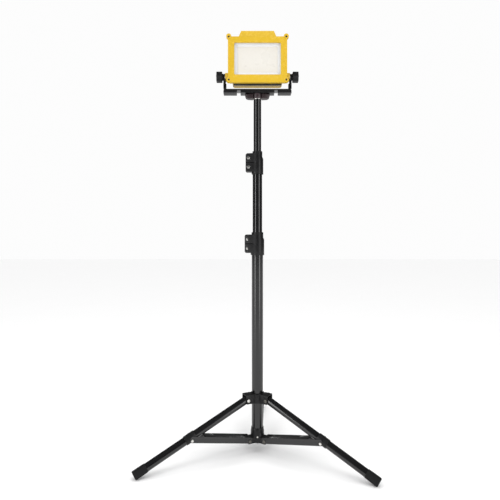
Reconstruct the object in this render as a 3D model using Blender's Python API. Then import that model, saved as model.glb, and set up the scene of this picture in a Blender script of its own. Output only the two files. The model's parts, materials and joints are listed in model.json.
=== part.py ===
"""Work light on a telescoping stand: a battery flood light in a tilting yoke, on a three-section mast with
folding legs. Metres, +Z up, the light faces -Y. The floor is at z = 0, and the origin is the middle of the
stand's bounding box on the floor."""

from math import atan2, cos, hypot, pi, radians, sin, sqrt

import bmesh
import bpy
from mathutils import Matrix, Vector

MM = 0.001
GAP = 0.3 * MM            # space left between pieces that touch

# ---- mast ----
LOWER_TUBE_R = 15.0 * MM
MID_TUBE_R = 12.5 * MM
UPPER_TUBE_R = 10.0 * MM
TUBE_WALL = 1.2 * MM
LOWER_CLAMP_Z = 519 * MM  # underside of the lower clamp
UPPER_CLAMP_Z = 732.6 * MM
CLAMP_HEIGHT = 60.5 * MM
CLAMP_GRIP = 43 * MM      # length of the lower, wider part of a clamp
CLAMP_WALL = 2.7 * MM
MID_TUBE_BOTTOM_Z = 280 * MM
UPPER_TUBE_BOTTOM_Z = 500 * MM
MAST_TOP_Z = 930 * MM
BUSH_LENGTH = 8 * MM

# ---- clamp ears, bolts and lever ----
EAR_REACH = 15.7 * MM     # ear block beyond the clamp's round wall
EAR_DEPTH = 18 * MM
EAR_MARGIN = 6 * MM       # the ear block stops this far from the clamp's ends
SLIT = 2 * MM
BOLT_R = 2.0 * MM
BOLT_HEAD_R = 4.0 * MM
BOLT_HEAD_H = 2.6 * MM
BOLT_REACH = 8.3 * MM     # bolt axis beyond the clamp's round wall
BOLT_SPACING = 24 * MM
LEVER_THICK = 3.0 * MM
KNUCKLE_R = 3.5 * MM
KNUCKLE_HEIGHT = 10 * MM
LEVER_PIN_R = 1.5 * MM
LEVER_LUG = 2.2 * MM

# ---- legs ----
LEG_TURN = radians(3.0)   # the leg set stands this much clockwise of the light, seen from above
LEG_DROP = radians(24.2)  # slope of a spread leg below the horizontal
LEG_LENGTH = 322.9 * MM   # pivot to foot end
LEG_PIVOT_R = 32 * MM
LEG_R = 10 * MM
LEG_START = 5 * MM        # the tube begins this far above its pivot
FOOT_R = 11.3 * MM
FOOT_LENGTH = 33 * MM
FOOT_END = 5 * MM
FOOT_FLAT = 1.2 * MM      # worn flat where a foot meets the floor
CLIP_WALL = 1.3 * MM
CLIP_LENGTH = 28 * MM
PIN_ALONG = 171 * MM      # brace pin's place along the leg
PIN_DROP = 3.5 * MM       # and below the leg's centre line
PIN_R = 2.5 * MM
PIN_HEAD_R = 4.5 * MM
PIN_HEAD_H = 1.5 * MM

# ---- leg hub ----
HUB_WALL = 3.0 * MM
HUB_BELOW = 10 * MM       # hub below and above the leg pivots
HUB_ABOVE = 14.2 * MM
CHEEK = 2.2 * MM
CHEEK_REACH = 6.3 * MM    # beyond the pivot
ROOF = 2.3 * MM
LOCK_R = 8 * MM
LOCK_THICK = 10 * MM
LOCK_STEM_R = 3 * MM
LOCK_STEM = 9 * MM

# ---- lower hub and braces ----
FOOT_HUB_Z = 28 * MM
FOOT_HUB_TOP = 28 * MM    # height of the round body
FOOT_HUB_TAPER = 9 * MM
FOOT_HUB_WALL = 2.3 * MM
FOOT_HUB_FLOOR = 3 * MM
HUB_PIN_R = 28.5 * MM
HUB_LUG_R = 7.5 * MM
BRACE_GAP = 12 * MM       # half the space between a brace's flanges
BRACE_SHEET = 1.6 * MM
BRACE_BELOW = 5 * MM
BRACE_ABOVE = 10.4 * MM
BRACE_END_R = 6 * MM
WEB_START = 16 * MM
WEB_STOP = 60 * MM        # the web ends this far before the leg pin

# ---- head, measured from the tilt axis ----
PIVOT_Z = 990 * MM
HEAD_W = 154 * MM
HEAD_BOTTOM = -21.7 * MM
HEAD_H = 119.4 * MM
HEAD_CORNER = 6 * MM
BODY_W = 131 * MM         # middle frame and rear shell
HEAD_FRONT = -25 * MM
BEZEL_THICK = 10 * MM
MIDDLE_THICK = 12.9 * MM
SHELL_THICK = 27.5 * MM
SHELL_WALL = 2.5 * MM
SHELL_BEVEL = 5 * MM
LUG_X = 74.8 * MM
LUG_R = 6.5 * MM
LUG_RISE = 0.9 * MM       # top lugs above the bezel's top edge
LUG_LIFT = 6.8 * MM       # bottom lugs above its bottom edge
TAB_H = 14.6 * MM
TAB_TOP_W = 85 * MM
TAB_BASE_W = 98 * MM
LENS_W = 121 * MM
LENS_H = 83.5 * MM
LENS_LIFT = 20.4 * MM     # window above the bezel's bottom edge
REBATE = 5 * MM
REBATE_DEPTH = 5 * MM
GASKET_THICK = 1.2 * MM
GLASS_THICK = 3 * MM
POCKET_W = 124 * MM
POCKET_H = 88 * MM
POCKET_DEPTH = 10 * MM
BOARD_THICK = 1.6 * MM
REFLECTOR_IN = 9 * MM     # how far the reflector's walls slope inwards
WIRE_HOLE_R = 4 * MM
DOOR_W = 92 * MM
DOOR_H = 56 * MM
DOOR_Z = 45 * MM
DOOR_LIP = 4 * MM
DOOR_THICK = 1.8 * MM
BATTERY = Vector((84, 15, 50)) * MM
BUTTON_X = 40 * MM
BUTTON_Z = -4 * MM
BUTTON_R = 7 * MM
BUTTON_PROUD = 1.8 * MM
SOCKET_X = -38 * MM
SOCKET_W = 12 * MM
SOCKET_H = 7 * MM
FLAP_W = 22 * MM
FLAP_H = 14 * MM
FLAP_THICK = 2.2 * MM
FLAP_PIN_R = 1.4 * MM

# ---- tilt joint ----
BOSS_R = 11 * MM
STUD_R = 3.9 * MM
STUD_FIT = 0.35 * MM
STUD_LENGTH = 12 * MM     # of stud inside the boss
WASHER_R = 10 * MM
WASHER_THICK = 1.0 * MM
KNOB_R = 14.5 * MM
KNOB_LOBE = 1.5 * MM
KNOB_LOBES = 6
KNOB_THICK = 15.4 * MM
COLLAR_R = 9 * MM
COLLAR_THICK = 3.2 * MM

# ---- yoke and mast top ----
YOKE_INNER = 86.5 * MM    # half the space between the yoke's ears
YOKE_SHEET = 3 * MM
YOKE_DEPTH = 28 * MM
YOKE_BELOW = 34.8 * MM    # base's upper face below the tilt axis
YOKE_ABOVE = 8.5 * MM
YOKE_BEND = 5 * MM
YOKE_TOP_DEPTH = 20 * MM
PAD_THICK = 6.4 * MM
PAD_W = 35 * MM
BLOCK_W = 89 * MM
FLANGE_R = 10.5 * MM
FLANGE_THICK = 2.4 * MM
MAST_STUD_R = 5 * MM
PLUG_LENGTH = 25 * MM
WING_SPAN = 66 * MM
WING_DEPTH = 22 * MM
WING_THICK = 7 * MM
WING_HUB_R = 9 * MM

# ---- worked out from the above ----
LEG_PIVOT_Z = LEG_LENGTH * sin(LEG_DROP) + FOOT_R * cos(LEG_DROP) - FOOT_FLAT
HUB_PIN_Z = FOOT_HUB_Z + HUB_LUG_R
PIN_OUT = LEG_PIVOT_R + PIN_ALONG * cos(LEG_DROP) - PIN_DROP * sin(LEG_DROP)
PIN_UP = LEG_PIVOT_Z - PIN_ALONG * sin(LEG_DROP) - PIN_DROP * cos(LEG_DROP)
BRACE_LENGTH = hypot(PIN_OUT - HUB_PIN_R, PIN_UP - HUB_PIN_Z)
BRACE_RISE = atan2(PIN_UP - HUB_PIN_Z, PIN_OUT - HUB_PIN_R)
BEZEL_BACK = HEAD_FRONT + BEZEL_THICK
MIDDLE_FRONT = BEZEL_BACK + GAP
MIDDLE_BACK = MIDDLE_FRONT + MIDDLE_THICK
SHELL_FRONT = MIDDLE_BACK + GAP
SHELL_BACK = SHELL_FRONT + SHELL_THICK
HEAD_MID_Z = HEAD_BOTTOM + HEAD_H / 2
LENS_Z = HEAD_BOTTOM + LENS_LIFT + LENS_H / 2
WASHER_IN = YOKE_INNER - GAP - WASHER_THICK
BOSS_END = WASHER_IN - GAP
EAR_OUT = YOKE_INNER + YOKE_SHEET
STRAP_BOTTOM = -YOKE_BELOW - YOKE_SHEET
PAD_BOTTOM = STRAP_BOTTOM - GAP - PAD_THICK
LEGS = {"left": -60, "right": 60, "rear": 180}
AXES = {
    "X": Matrix.Rotation(pi / 2, 4, "Y"),
    "Y": Matrix.Rotation(-pi / 2, 4, "X"),
    "Z": Matrix.Identity(4),
}


# ---- tools ----
def make_material(name, colour, roughness, metallic=0.0):
    material = bpy.data.materials.new(name)
    material.use_nodes = True
    shader = material.node_tree.nodes["Principled BSDF"]
    shader.inputs["Base Color"].default_value = (*colour, 1)
    shader.inputs["Roughness"].default_value = roughness
    shader.inputs["Metallic"].default_value = metallic
    return material


def add_object(name, bm, parent=None, smooth=35):
    """A named object from a bmesh, with its faces pointing out."""
    bmesh.ops.recalc_face_normals(bm, faces=bm.faces)
    mesh = bpy.data.meshes.new(name)
    bm.to_mesh(mesh)
    bm.free()
    mesh.shade_smooth()
    mesh.set_sharp_from_angle(angle=radians(smooth))
    obj = bpy.data.objects.new(name, mesh)
    bpy.context.scene.collection.objects.link(obj)
    obj.parent = parent
    return obj


def add_empty(name, location, parent=None, rotation=(0, 0, 0)):
    empty = bpy.data.objects.new(name, None)
    bpy.context.scene.collection.objects.link(empty)
    empty.parent = parent
    empty.location = location
    empty.rotation_euler = rotation
    return empty


def boolean(target, tool, operation="DIFFERENCE"):
    """Cuts or joins a tool object into target, then removes the tool."""
    bpy.context.view_layer.update()
    modifier = target.modifiers.new("shape", "BOOLEAN")
    modifier.operation = operation
    modifier.solver = "EXACT"
    modifier.object = tool
    depsgraph = bpy.context.evaluated_depsgraph_get()
    shaped = bpy.data.meshes.new_from_object(target.evaluated_get(depsgraph))
    target.modifiers.clear()
    target.data = shaped
    bpy.data.objects.remove(tool)
    return target


def turned(profile, axis="Z", steps=32, ring=False):
    """Profile points (radius, height) turned about an axis. A ring's profile closes on itself."""
    bm = bmesh.new()
    rows = []
    for radius, height in profile:
        if radius == 0:
            rows.append([bm.verts.new((0, 0, height))] * steps)
            continue
        turn = [2 * pi * i / steps for i in range(steps)]
        rows.append([bm.verts.new((radius * cos(a), radius * sin(a), height)) for a in turn])
    pairs = list(zip(rows, rows[1:]))
    if ring:
        pairs.append((rows[-1], rows[0]))
    for low, high in pairs:
        for i in range(steps):
            j = (i + 1) % steps
            corners = [low[i], low[j], high[j], high[i]]
            bm.faces.new(list(dict.fromkeys(corners)))
    if not ring:
        for row in (rows[0], rows[-1]):
            if row[0] is not row[1]:
                bm.faces.new(row)
    bm.transform(AXES[axis])
    return bm


def tube(outer, inner, low, high, axis="Z", steps=32):
    return turned([(outer, low), (outer, high), (inner, high), (inner, low)], axis, steps, True)


def rod(radius, low, high, axis="Z", steps=24):
    return turned([(radius, low), (radius, high)], axis, steps)


def prism(outline, low, high, axis="Z"):
    """An outline in a plane, extruded along the axis that crosses it. Outline points are XY for Z, XZ for Y
    and YZ for X."""
    place = {
        "X": lambda a, b, c: (c, a, b),
        "Y": lambda a, b, c: (a, c, b),
        "Z": lambda a, b, c: (a, b, c),
    }[axis]
    bm = bmesh.new()
    base = [bm.verts.new(place(a, b, low)) for a, b in outline]
    top = [bm.verts.new(place(a, b, high)) for a, b in outline]
    bm.faces.new(base)
    bm.faces.new(top)
    for i in range(len(outline)):
        j = (i + 1) % len(outline)
        bm.faces.new((base[i], base[j], top[j], top[i]))
    return bm


def arc(centre, radius, start, stop, steps):
    """Points on an arc, from angle start to stop in degrees."""
    angles = [radians(start + (stop - start) * i / steps) for i in range(steps + 1)]
    return [(centre[0] + radius * cos(a), centre[1] + radius * sin(a)) for a in angles]


def rounded(low, high, radius, steps=4):
    """A rectangle between two corners, with round corners."""
    (x0, y0), (x1, y1) = low, high
    r = radius
    return (
        arc((x1 - r, y0 + r), r, -90, 0, steps)
        + arc((x1 - r, y1 - r), r, 0, 90, steps)
        + arc((x0 + r, y1 - r), r, 90, 180, steps)
        + arc((x0 + r, y0 + r), r, 180, 270, steps)
    )


def panel(width, height, centre_z, radius):
    """A rounded rectangle in the XZ plane, centred on x = 0."""
    low = (-width / 2, centre_z - height / 2)
    return rounded(low, (width / 2, centre_z + height / 2), radius)


def box(low, high):
    corners = [(low[0], low[1]), (high[0], low[1]), (high[0], high[1]), (low[0], high[1])]
    return prism(corners, low[2], high[2])


def cutter(bm, parent=None):
    """A temporary solid for a boolean. It works inside the same parent as its target."""
    return add_object("cutter", bm, parent)


def finish(obj, material):
    obj.data.materials.clear()
    obj.data.materials.append(material)
    obj.data.shade_smooth()
    obj.data.set_sharp_from_angle(angle=radians(35))
    return obj


# ---- mast ----
def build_tubes(mast, mid, upper, paint):
    top = LOWER_CLAMP_Z + CLAMP_GRIP - GAP
    low = FOOT_HUB_Z + FOOT_HUB_FLOOR + GAP
    lower = add_object("lower_tube", tube(LOWER_TUBE_R, LOWER_TUBE_R - TUBE_WALL, low, top), mast)
    finish(lower, paint)
    top = UPPER_CLAMP_Z + CLAMP_GRIP - GAP
    bm = tube(MID_TUBE_R, MID_TUBE_R - TUBE_WALL, MID_TUBE_BOTTOM_Z, top)
    finish(add_object("mid_tube", bm, mid), paint)
    bm = tube(UPPER_TUBE_R, UPPER_TUBE_R - TUBE_WALL, UPPER_TUBE_BOTTOM_Z, MAST_TOP_Z)
    finish(add_object("upper_tube", bm, upper), paint)


def build_bush(name, guide_r, bottom, parent, plastic):
    """A glide ring under a tube's end, running inside the next tube out."""
    top = bottom - GAP
    bore = guide_r * 0.65
    finish(add_object(name, tube(guide_r - GAP, bore, top - BUSH_LENGTH, top), parent), plastic)


def build_clamp(name, outer_tube_r, inner_tube_r, low, parent, lever_parent, plastic, steel):
    """A split clamp on the end of one tube that grips the tube inside it, with two bolts and a lever."""
    wall_r = outer_tube_r + GAP + CLAMP_WALL
    neck_r = inner_tube_r + GAP + CLAMP_WALL
    grip = low + CLAMP_GRIP
    top = low + CLAMP_HEIGHT
    profile = [
        (wall_r, low),
        (wall_r, grip - 2 * MM),
        (neck_r, grip + 4 * MM),
        (neck_r, top),
        (inner_tube_r + GAP, top),
        (inner_tube_r + GAP, grip),
        (outer_tube_r + GAP, grip),
        (outer_tube_r + GAP, low),
    ]
    body = add_object(name + "_body", turned(profile, "Z", 32, True), parent)
    half = EAR_DEPTH / 2
    far = -wall_r - EAR_REACH
    near = -outer_tube_r - GAP - CLAMP_WALL / 2
    ear = prism(rounded((far, -half), (near, half), 1.5 * MM), low + EAR_MARGIN, top - EAR_MARGIN)
    boolean(body, cutter(ear, parent), "UNION")
    bolt_x = -wall_r - BOLT_REACH
    middle = (low + top) / 2
    hinge_y = half + KNUCKLE_R + GAP
    for side in (-1, 1):
        start = middle + side * (KNUCKLE_HEIGHT / 2 + GAP)
        stop = start + side * LEVER_LUG
        edge = sorted((start, stop))
        lug = rounded((bolt_x - 4 * MM, half - 2 * MM), (bolt_x + 4 * MM, hinge_y + 3 * MM), 1.5 * MM)
        boolean(body, cutter(prism(lug, edge[0], edge[1]), parent), "UNION")
    slit = box((far - MM, -SLIT / 2, low - MM), (-inner_tube_r, SLIT / 2, top + MM))
    boolean(body, cutter(slit, parent))
    for side in (-1, 1):
        hole = rod(BOLT_R + GAP, -half - MM, half + MM, "Y", 16)
        bmesh.ops.translate(hole, vec=(bolt_x, 0, middle + side * BOLT_SPACING / 2), verts=hole.verts)
        boolean(body, cutter(hole, parent))
    pin_hole = rod(LEVER_PIN_R + GAP, middle - BOLT_SPACING / 2 + MM, middle + BOLT_SPACING / 2 - MM, "Z", 16)
    bmesh.ops.translate(pin_hole, vec=(bolt_x, hinge_y, 0), verts=pin_hole.verts)
    boolean(body, cutter(pin_hole, parent))
    finish(body, plastic)

    for side, word in ((-1, "lower"), (1, "upper")):
        profile = [
            (BOLT_HEAD_R, -half - GAP - BOLT_HEAD_H),
            (BOLT_HEAD_R, -half - GAP),
            (BOLT_R, -half - GAP),
            (BOLT_R, half + GAP),
            (BOLT_HEAD_R * 0.85, half + GAP),
            (BOLT_HEAD_R * 0.85, half + GAP + BOLT_HEAD_H),
        ]
        bolt = add_object(f"{name}_{word}_bolt", turned(profile, "Y", 16), parent)
        bolt.location = (bolt_x, 0, middle + side * BOLT_SPACING / 2)
        finish(bolt, steel)

    build_lever(name, wall_r, bolt_x, hinge_y, lever_parent, plastic)


def build_lever(name, wall_r, hinge_x, hinge_y, parent, plastic):
    """The lever hugs the back of its clamp. Its origin is on its hinge pin."""
    inner = wall_r + 2 * GAP
    outer = inner + LEVER_THICK
    lead = (hinge_x, hinge_y)
    back = arc((0, 0), outer, 120, 40, 10)
    front = arc((0, 0), inner, 40, 112, 9)
    outline = [(lead[0], lead[1] + KNUCKLE_R * 0.9)] + back + front
    outline.append((lead[0] + KNUCKLE_R, lead[1] - KNUCKLE_R * 0.3))
    outline = [(x - hinge_x, y - hinge_y) for x, y in outline]
    arm = prism(outline, -KNUCKLE_HEIGHT / 2, KNUCKLE_HEIGHT / 2)
    lever = add_object(name + "_lever", arm, parent)
    knuckle = rod(KNUCKLE_R, -KNUCKLE_HEIGHT / 2, KNUCKLE_HEIGHT / 2, "Z", 20)
    boolean(lever, cutter(knuckle, parent), "UNION")
    pin_half = KNUCKLE_HEIGHT / 2 + GAP + LEVER_LUG
    boolean(lever, cutter(rod(LEVER_PIN_R, -pin_half, pin_half, "Z", 16), parent), "UNION")
    finish(lever, plastic)


# ---- base ----
def build_lower_hub(mast, frames, plastic):
    bore = LOWER_TUBE_R + GAP
    wall_r = bore + FOOT_HUB_WALL
    floor = FOOT_HUB_Z + FOOT_HUB_FLOOR
    top = FOOT_HUB_Z + FOOT_HUB_TOP
    profile = [
        (0, FOOT_HUB_Z),
        (wall_r, FOOT_HUB_Z),
        (wall_r, top),
        (bore + MM, top + FOOT_HUB_TAPER),
        (bore, top + FOOT_HUB_TAPER),
        (bore, floor),
        (0, floor),
    ]
    hub = add_object("lower_hub", turned(profile), mast)
    half = BRACE_GAP - GAP
    for frame in frames.values():
        start = sqrt(wall_r**2 - half**2) - MM
        low = HUB_PIN_Z - HUB_LUG_R
        outline = [(start, low), (HUB_PIN_R, low)]
        outline += arc((HUB_PIN_R, HUB_PIN_Z), HUB_LUG_R, -90, 90, 10)[1:]
        outline += [(start, HUB_PIN_Z + HUB_LUG_R)]
        boolean(hub, cutter(prism(outline, -half, half, "Y"), frame), "UNION")
        hole = rod(PIN_R + GAP, -half - MM, half + MM, "Y", 16)
        bmesh.ops.translate(hole, vec=(HUB_PIN_R, 0, HUB_PIN_Z), verts=hole.verts)
        boolean(hub, cutter(hole, frame))
    boolean(hub, cutter(rod(bore, floor, top + 2 * FOOT_HUB_TAPER, "Z", 32), mast))
    finish(hub, plastic)


def build_leg_hub(hub_body, frames, plastic):
    """The sliding hub: a sleeve with three roofed pairs of cheeks and a boss for the lock knob."""
    bore = LOWER_TUBE_R + GAP
    wall_r = bore + HUB_WALL
    hub = add_object("leg_hub", tube(wall_r, bore, -HUB_BELOW, HUB_ABOVE), hub_body)
    inner = LEG_R + 2 * GAP
    outer = inner + CHEEK
    start = bore + HUB_WALL * 0.4
    reach = LEG_PIVOT_R + CHEEK_REACH
    for frame in frames.values():
        for side in (-1, 1):
            near, far = sorted((side * inner, side * outer))
            low = (start - 3 * MM, -HUB_BELOW + MM)
            cheek = prism(rounded(low, (reach, HUB_ABOVE), 3 * MM), near, far, "Y")
            boolean(hub, cutter(cheek, frame), "UNION")
        roof = prism(
            rounded((start, HUB_ABOVE - ROOF), (reach, HUB_ABOVE), 0.8 * MM, 2), -outer, outer, "Y"
        )
        boolean(hub, cutter(roof, frame), "UNION")
        hole = rod(PIN_R + GAP, -outer - MM, outer + MM, "Y", 16)
        bmesh.ops.translate(hole, vec=(LEG_PIVOT_R, 0, 0), verts=hole.verts)
        boolean(hub, cutter(hole, frame))
    boolean(hub, cutter(rod(bore, -HUB_BELOW - MM, HUB_ABOVE + MM, "Z", 32), hub_body))
    finish(hub, plastic)


def build_lock_knob(parent, plastic):
    """Grip knob whose stem points at the mast. Its origin is on the mast's axis."""
    start = LOWER_TUBE_R + GAP + HUB_WALL + GAP
    grip = start + LOCK_STEM
    profile = [
        (LOCK_STEM_R, start),
        (LOCK_STEM_R, grip),
        (LOCK_R * 0.8, grip),
        (LOCK_R, grip + 2 * MM),
        (LOCK_R, grip + LOCK_THICK - 1.5 * MM),
        (LOCK_R * 0.8, grip + LOCK_THICK),
    ]
    finish(add_object("hub_lock_knob", turned(profile, "X", 20), parent), plastic)


def build_leg(side, leg_pivot, brace_pivot, hub_frame, paint, rubber, plastic, steel):
    """One leg along its pivot's +X, and its brace along the brace pivot's +X."""
    foot_start = LEG_LENGTH - FOOT_LENGTH
    leg_end = LEG_LENGTH - FOOT_END - GAP
    bm = tube(LEG_R, LEG_R - TUBE_WALL, -LEG_START, leg_end, "X")
    leg = add_object(f"leg_tube_{side}", bm, leg_pivot)
    hole = rod(PIN_R + GAP, -LEG_R - MM, LEG_R + MM, "Y", 16)
    boolean(leg, cutter(hole, leg_pivot))
    finish(leg, paint)

    bore = LEG_R + GAP
    profile = [
        (0, LEG_LENGTH),
        (FOOT_R, LEG_LENGTH),
        (FOOT_R, foot_start + FOOT_LENGTH * 0.6),
        (bore + MM * 0.6, foot_start),
        (bore, foot_start),
        (bore, LEG_LENGTH - FOOT_END),
        (0, LEG_LENGTH - FOOT_END),
    ]
    bm = turned(profile, "X", 32)
    foot = add_object(f"leg_foot_{side}", bm, leg_pivot)
    reach = 2 * LEG_LENGTH
    floor = box((0, -reach / 4, -LEG_PIVOT_Z - reach), (reach, reach / 4, -LEG_PIVOT_Z))
    boolean(foot, cutter(floor, hub_frame))
    finish(foot, rubber)

    middle = PIN_ALONG
    bm = tube(bore + CLIP_WALL, bore, middle - CLIP_LENGTH / 2, middle + CLIP_LENGTH / 2, "X")
    finish(add_object(f"leg_clip_{side}", bm, leg_pivot), plastic)

    half = LEG_R + 2 * GAP + CHEEK + GAP
    pin = add_object(f"leg_pin_{side}", headed_pin(half), hub_frame)
    pin.location = (LEG_PIVOT_R, 0, 0)
    finish(pin, steel)
    build_brace(side, brace_pivot, paint)
    half = BRACE_GAP + BRACE_SHEET + GAP
    finish(add_object(f"brace_pin_{side}", headed_pin(half), brace_pivot), steel)


def headed_pin(half):
    profile = [
        (PIN_HEAD_R * 0.7, -half - PIN_HEAD_H),
        (PIN_HEAD_R, -half - PIN_HEAD_H * 0.4),
        (PIN_HEAD_R, -half),
        (PIN_R, -half),
        (PIN_R, half),
        (PIN_HEAD_R, half),
        (PIN_HEAD_R, half + PIN_HEAD_H * 0.4),
        (PIN_HEAD_R * 0.7, half + PIN_HEAD_H),
    ]
    return turned(profile, "Y", 16)


def build_brace(side, pivot, paint):
    """An upside-down channel: two flanges beside the leg, joined by a web on top between its ends."""
    outer = BRACE_GAP + BRACE_SHEET
    low = (-BRACE_END_R, -BRACE_BELOW)
    outline = rounded(low, (BRACE_LENGTH + BRACE_END_R, BRACE_ABOVE), BRACE_BELOW, 4)
    brace = add_object(f"brace_{side}", prism(outline, -outer, outer, "Y"), pivot)
    reach = BRACE_LENGTH + 3 * BRACE_END_R
    low_z = -2 * BRACE_ABOVE
    under = box((-reach, -BRACE_GAP, low_z), (reach, BRACE_GAP, BRACE_ABOVE - BRACE_SHEET))
    boolean(brace, cutter(under, pivot))
    hub_end = box((-reach, -BRACE_GAP, low_z), (WEB_START, BRACE_GAP, 2 * BRACE_ABOVE))
    boolean(brace, cutter(hub_end, pivot))
    leg_end = box((BRACE_LENGTH - WEB_STOP, -BRACE_GAP, low_z), (reach, BRACE_GAP, 2 * BRACE_ABOVE))
    boolean(brace, cutter(leg_end, pivot))
    boolean(brace, cutter(rod(PIN_R + GAP, -outer - MM, outer + MM, "Y", 16), pivot))
    finish(brace, paint)


# ---- mast top and yoke ----
def build_mast_top(upper, nut_body, yoke_body, metal, plastic, paint):
    flange = MAST_TOP_Z + GAP
    nut_low = flange + FLANGE_THICK + GAP
    block_low = PIVOT_Z + PAD_BOTTOM
    stud_top = block_low + PAD_THICK - MM
    profile = [
        (UPPER_TUBE_R - TUBE_WALL - GAP, MAST_TOP_Z - PLUG_LENGTH),
        (UPPER_TUBE_R - TUBE_WALL - GAP, flange),
        (FLANGE_R, flange),
        (FLANGE_R, flange + FLANGE_THICK),
        (MAST_STUD_R, flange + FLANGE_THICK),
        (MAST_STUD_R, stud_top),
    ]
    finish(add_object("mast_adapter", turned(profile), upper), metal)

    nut_top = block_low - GAP
    nut = add_object("mast_wing_nut", rod(WING_HUB_R, nut_low, nut_top, "Z", 32), nut_body)
    half = WING_SPAN / 2
    tip = WING_DEPTH * 0.32
    outline = arc((half - tip, 0), tip, -70, 70, 6) + arc((0, 0), WING_DEPTH / 2, 50, 130, 6)
    outline += arc((tip - half, 0), tip, 110, 250, 6) + arc((0, 0), WING_DEPTH / 2, 230, 310, 6)
    wings = prism(outline, nut_top - WING_THICK, nut_top - GAP)
    boolean(nut, cutter(wings, nut_body), "UNION")
    bore = rod(MAST_STUD_R + GAP, nut_low - MM, nut_top + MM, "Z", 24)
    boolean(nut, cutter(bore, nut_body))
    finish(nut, plastic)

    half = YOKE_DEPTH / 2
    outline = rounded((-BLOCK_W / 2, -half), (BLOCK_W / 2, half), 2 * MM)
    block = add_object("mount_block", prism(outline, PAD_BOTTOM, PAD_BOTTOM + PAD_THICK), yoke_body)
    bore = rod(MAST_STUD_R + GAP, PAD_BOTTOM - MM, PAD_BOTTOM + PAD_THICK + MM, "Z", 24)
    boolean(block, cutter(bore, yoke_body))
    finish(block, plastic)
    for side, word in ((-1, "left"), (1, "right")):
        edge = sorted((side * (EAR_OUT - PAD_W), side * EAR_OUT))
        outline = rounded((edge[0], -half), (edge[1], half), 2 * MM)
        pad = prism(outline, PAD_BOTTOM, PAD_BOTTOM + PAD_THICK)
        finish(add_object(f"foot_pad_{word}", pad, yoke_body), plastic)
    build_yoke(yoke_body, paint)


def build_yoke(body, paint):
    """A bent strap: its profile across the light, then its outline from the side."""
    bend = YOKE_BEND
    out = EAR_OUT
    inner = YOKE_INNER
    base = -YOKE_BELOW
    outline = [(-out, YOKE_ABOVE)]
    outline += arc((-out + bend, STRAP_BOTTOM + bend), bend, 180, 270, 5)
    outline += arc((out - bend, STRAP_BOTTOM + bend), bend, 270, 360, 5)
    outline += [(out, YOKE_ABOVE), (inner, YOKE_ABOVE)]
    outline += arc((out - bend, STRAP_BOTTOM + bend), bend - YOKE_SHEET, 360, 270, 3)
    outline += arc((-out + bend, STRAP_BOTTOM + bend), bend - YOKE_SHEET, 270, 180, 3)
    outline += [(-inner, YOKE_ABOVE)]
    half = YOKE_DEPTH / 2
    yoke = add_object("yoke", prism(outline, -half, half, "Y"), body)
    top = YOKE_TOP_DEPTH / 2
    side_view = [(-half - MM, STRAP_BOTTOM - MM), (half + MM, STRAP_BOTTOM - MM), (half + MM, base + 8 * MM)]
    side_view += arc((0, YOKE_ABOVE - top), top, 20, 160, 10)
    side_view += [(-half - MM, base + 8 * MM)]
    boolean(yoke, cutter(prism(side_view, -out - MM, out + MM, "X"), body), "INTERSECT")
    boolean(yoke, cutter(rod(STUD_R + STUD_FIT, -out - MM, out + MM, "X", 24), body))
    finish(yoke, paint)


# ---- head ----
def build_bezel(head, yellow):
    bezel = add_object(
        "front_bezel",
        prism(panel(HEAD_W, HEAD_H, HEAD_MID_Z, HEAD_CORNER), HEAD_FRONT, BEZEL_BACK, "Y"),
        head,
    )
    top = HEAD_BOTTOM + HEAD_H
    tab = [(TAB_BASE_W / 2, top - 4 * MM), (TAB_BASE_W / 2, top), (TAB_TOP_W / 2, top + TAB_H)]
    tab += [(-x, z) for x, z in reversed(tab)]
    boolean(bezel, cutter(prism(tab, HEAD_FRONT + MM, BEZEL_BACK - MM, "Y"), head), "UNION")
    for x in (-LUG_X, LUG_X):
        for z in (HEAD_BOTTOM + LUG_LIFT, top + LUG_RISE):
            lug = prism(arc((x, z), LUG_R, 0, 345, 23), HEAD_FRONT - 0.6 * MM, BEZEL_BACK - 0.6 * MM, "Y")
            boolean(bezel, cutter(lug, head), "UNION")
    window = prism(panel(LENS_W, LENS_H, LENS_Z, 3 * MM), HEAD_FRONT - 2 * MM, BEZEL_BACK + MM, "Y")
    boolean(bezel, cutter(window, head))
    rebate = panel(LENS_W + 2 * REBATE, LENS_H + 2 * REBATE, LENS_Z, 4 * MM)
    boolean(bezel, cutter(prism(rebate, BEZEL_BACK - REBATE_DEPTH, BEZEL_BACK + MM, "Y"), head))
    finish(bezel, yellow)


def ring_panel(name, outer, inner, low, high, head):
    ring = add_object(name, prism(outer, low, high, "Y"), head)
    return boolean(ring, cutter(prism(inner, low - MM, high + MM, "Y"), head))


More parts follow.
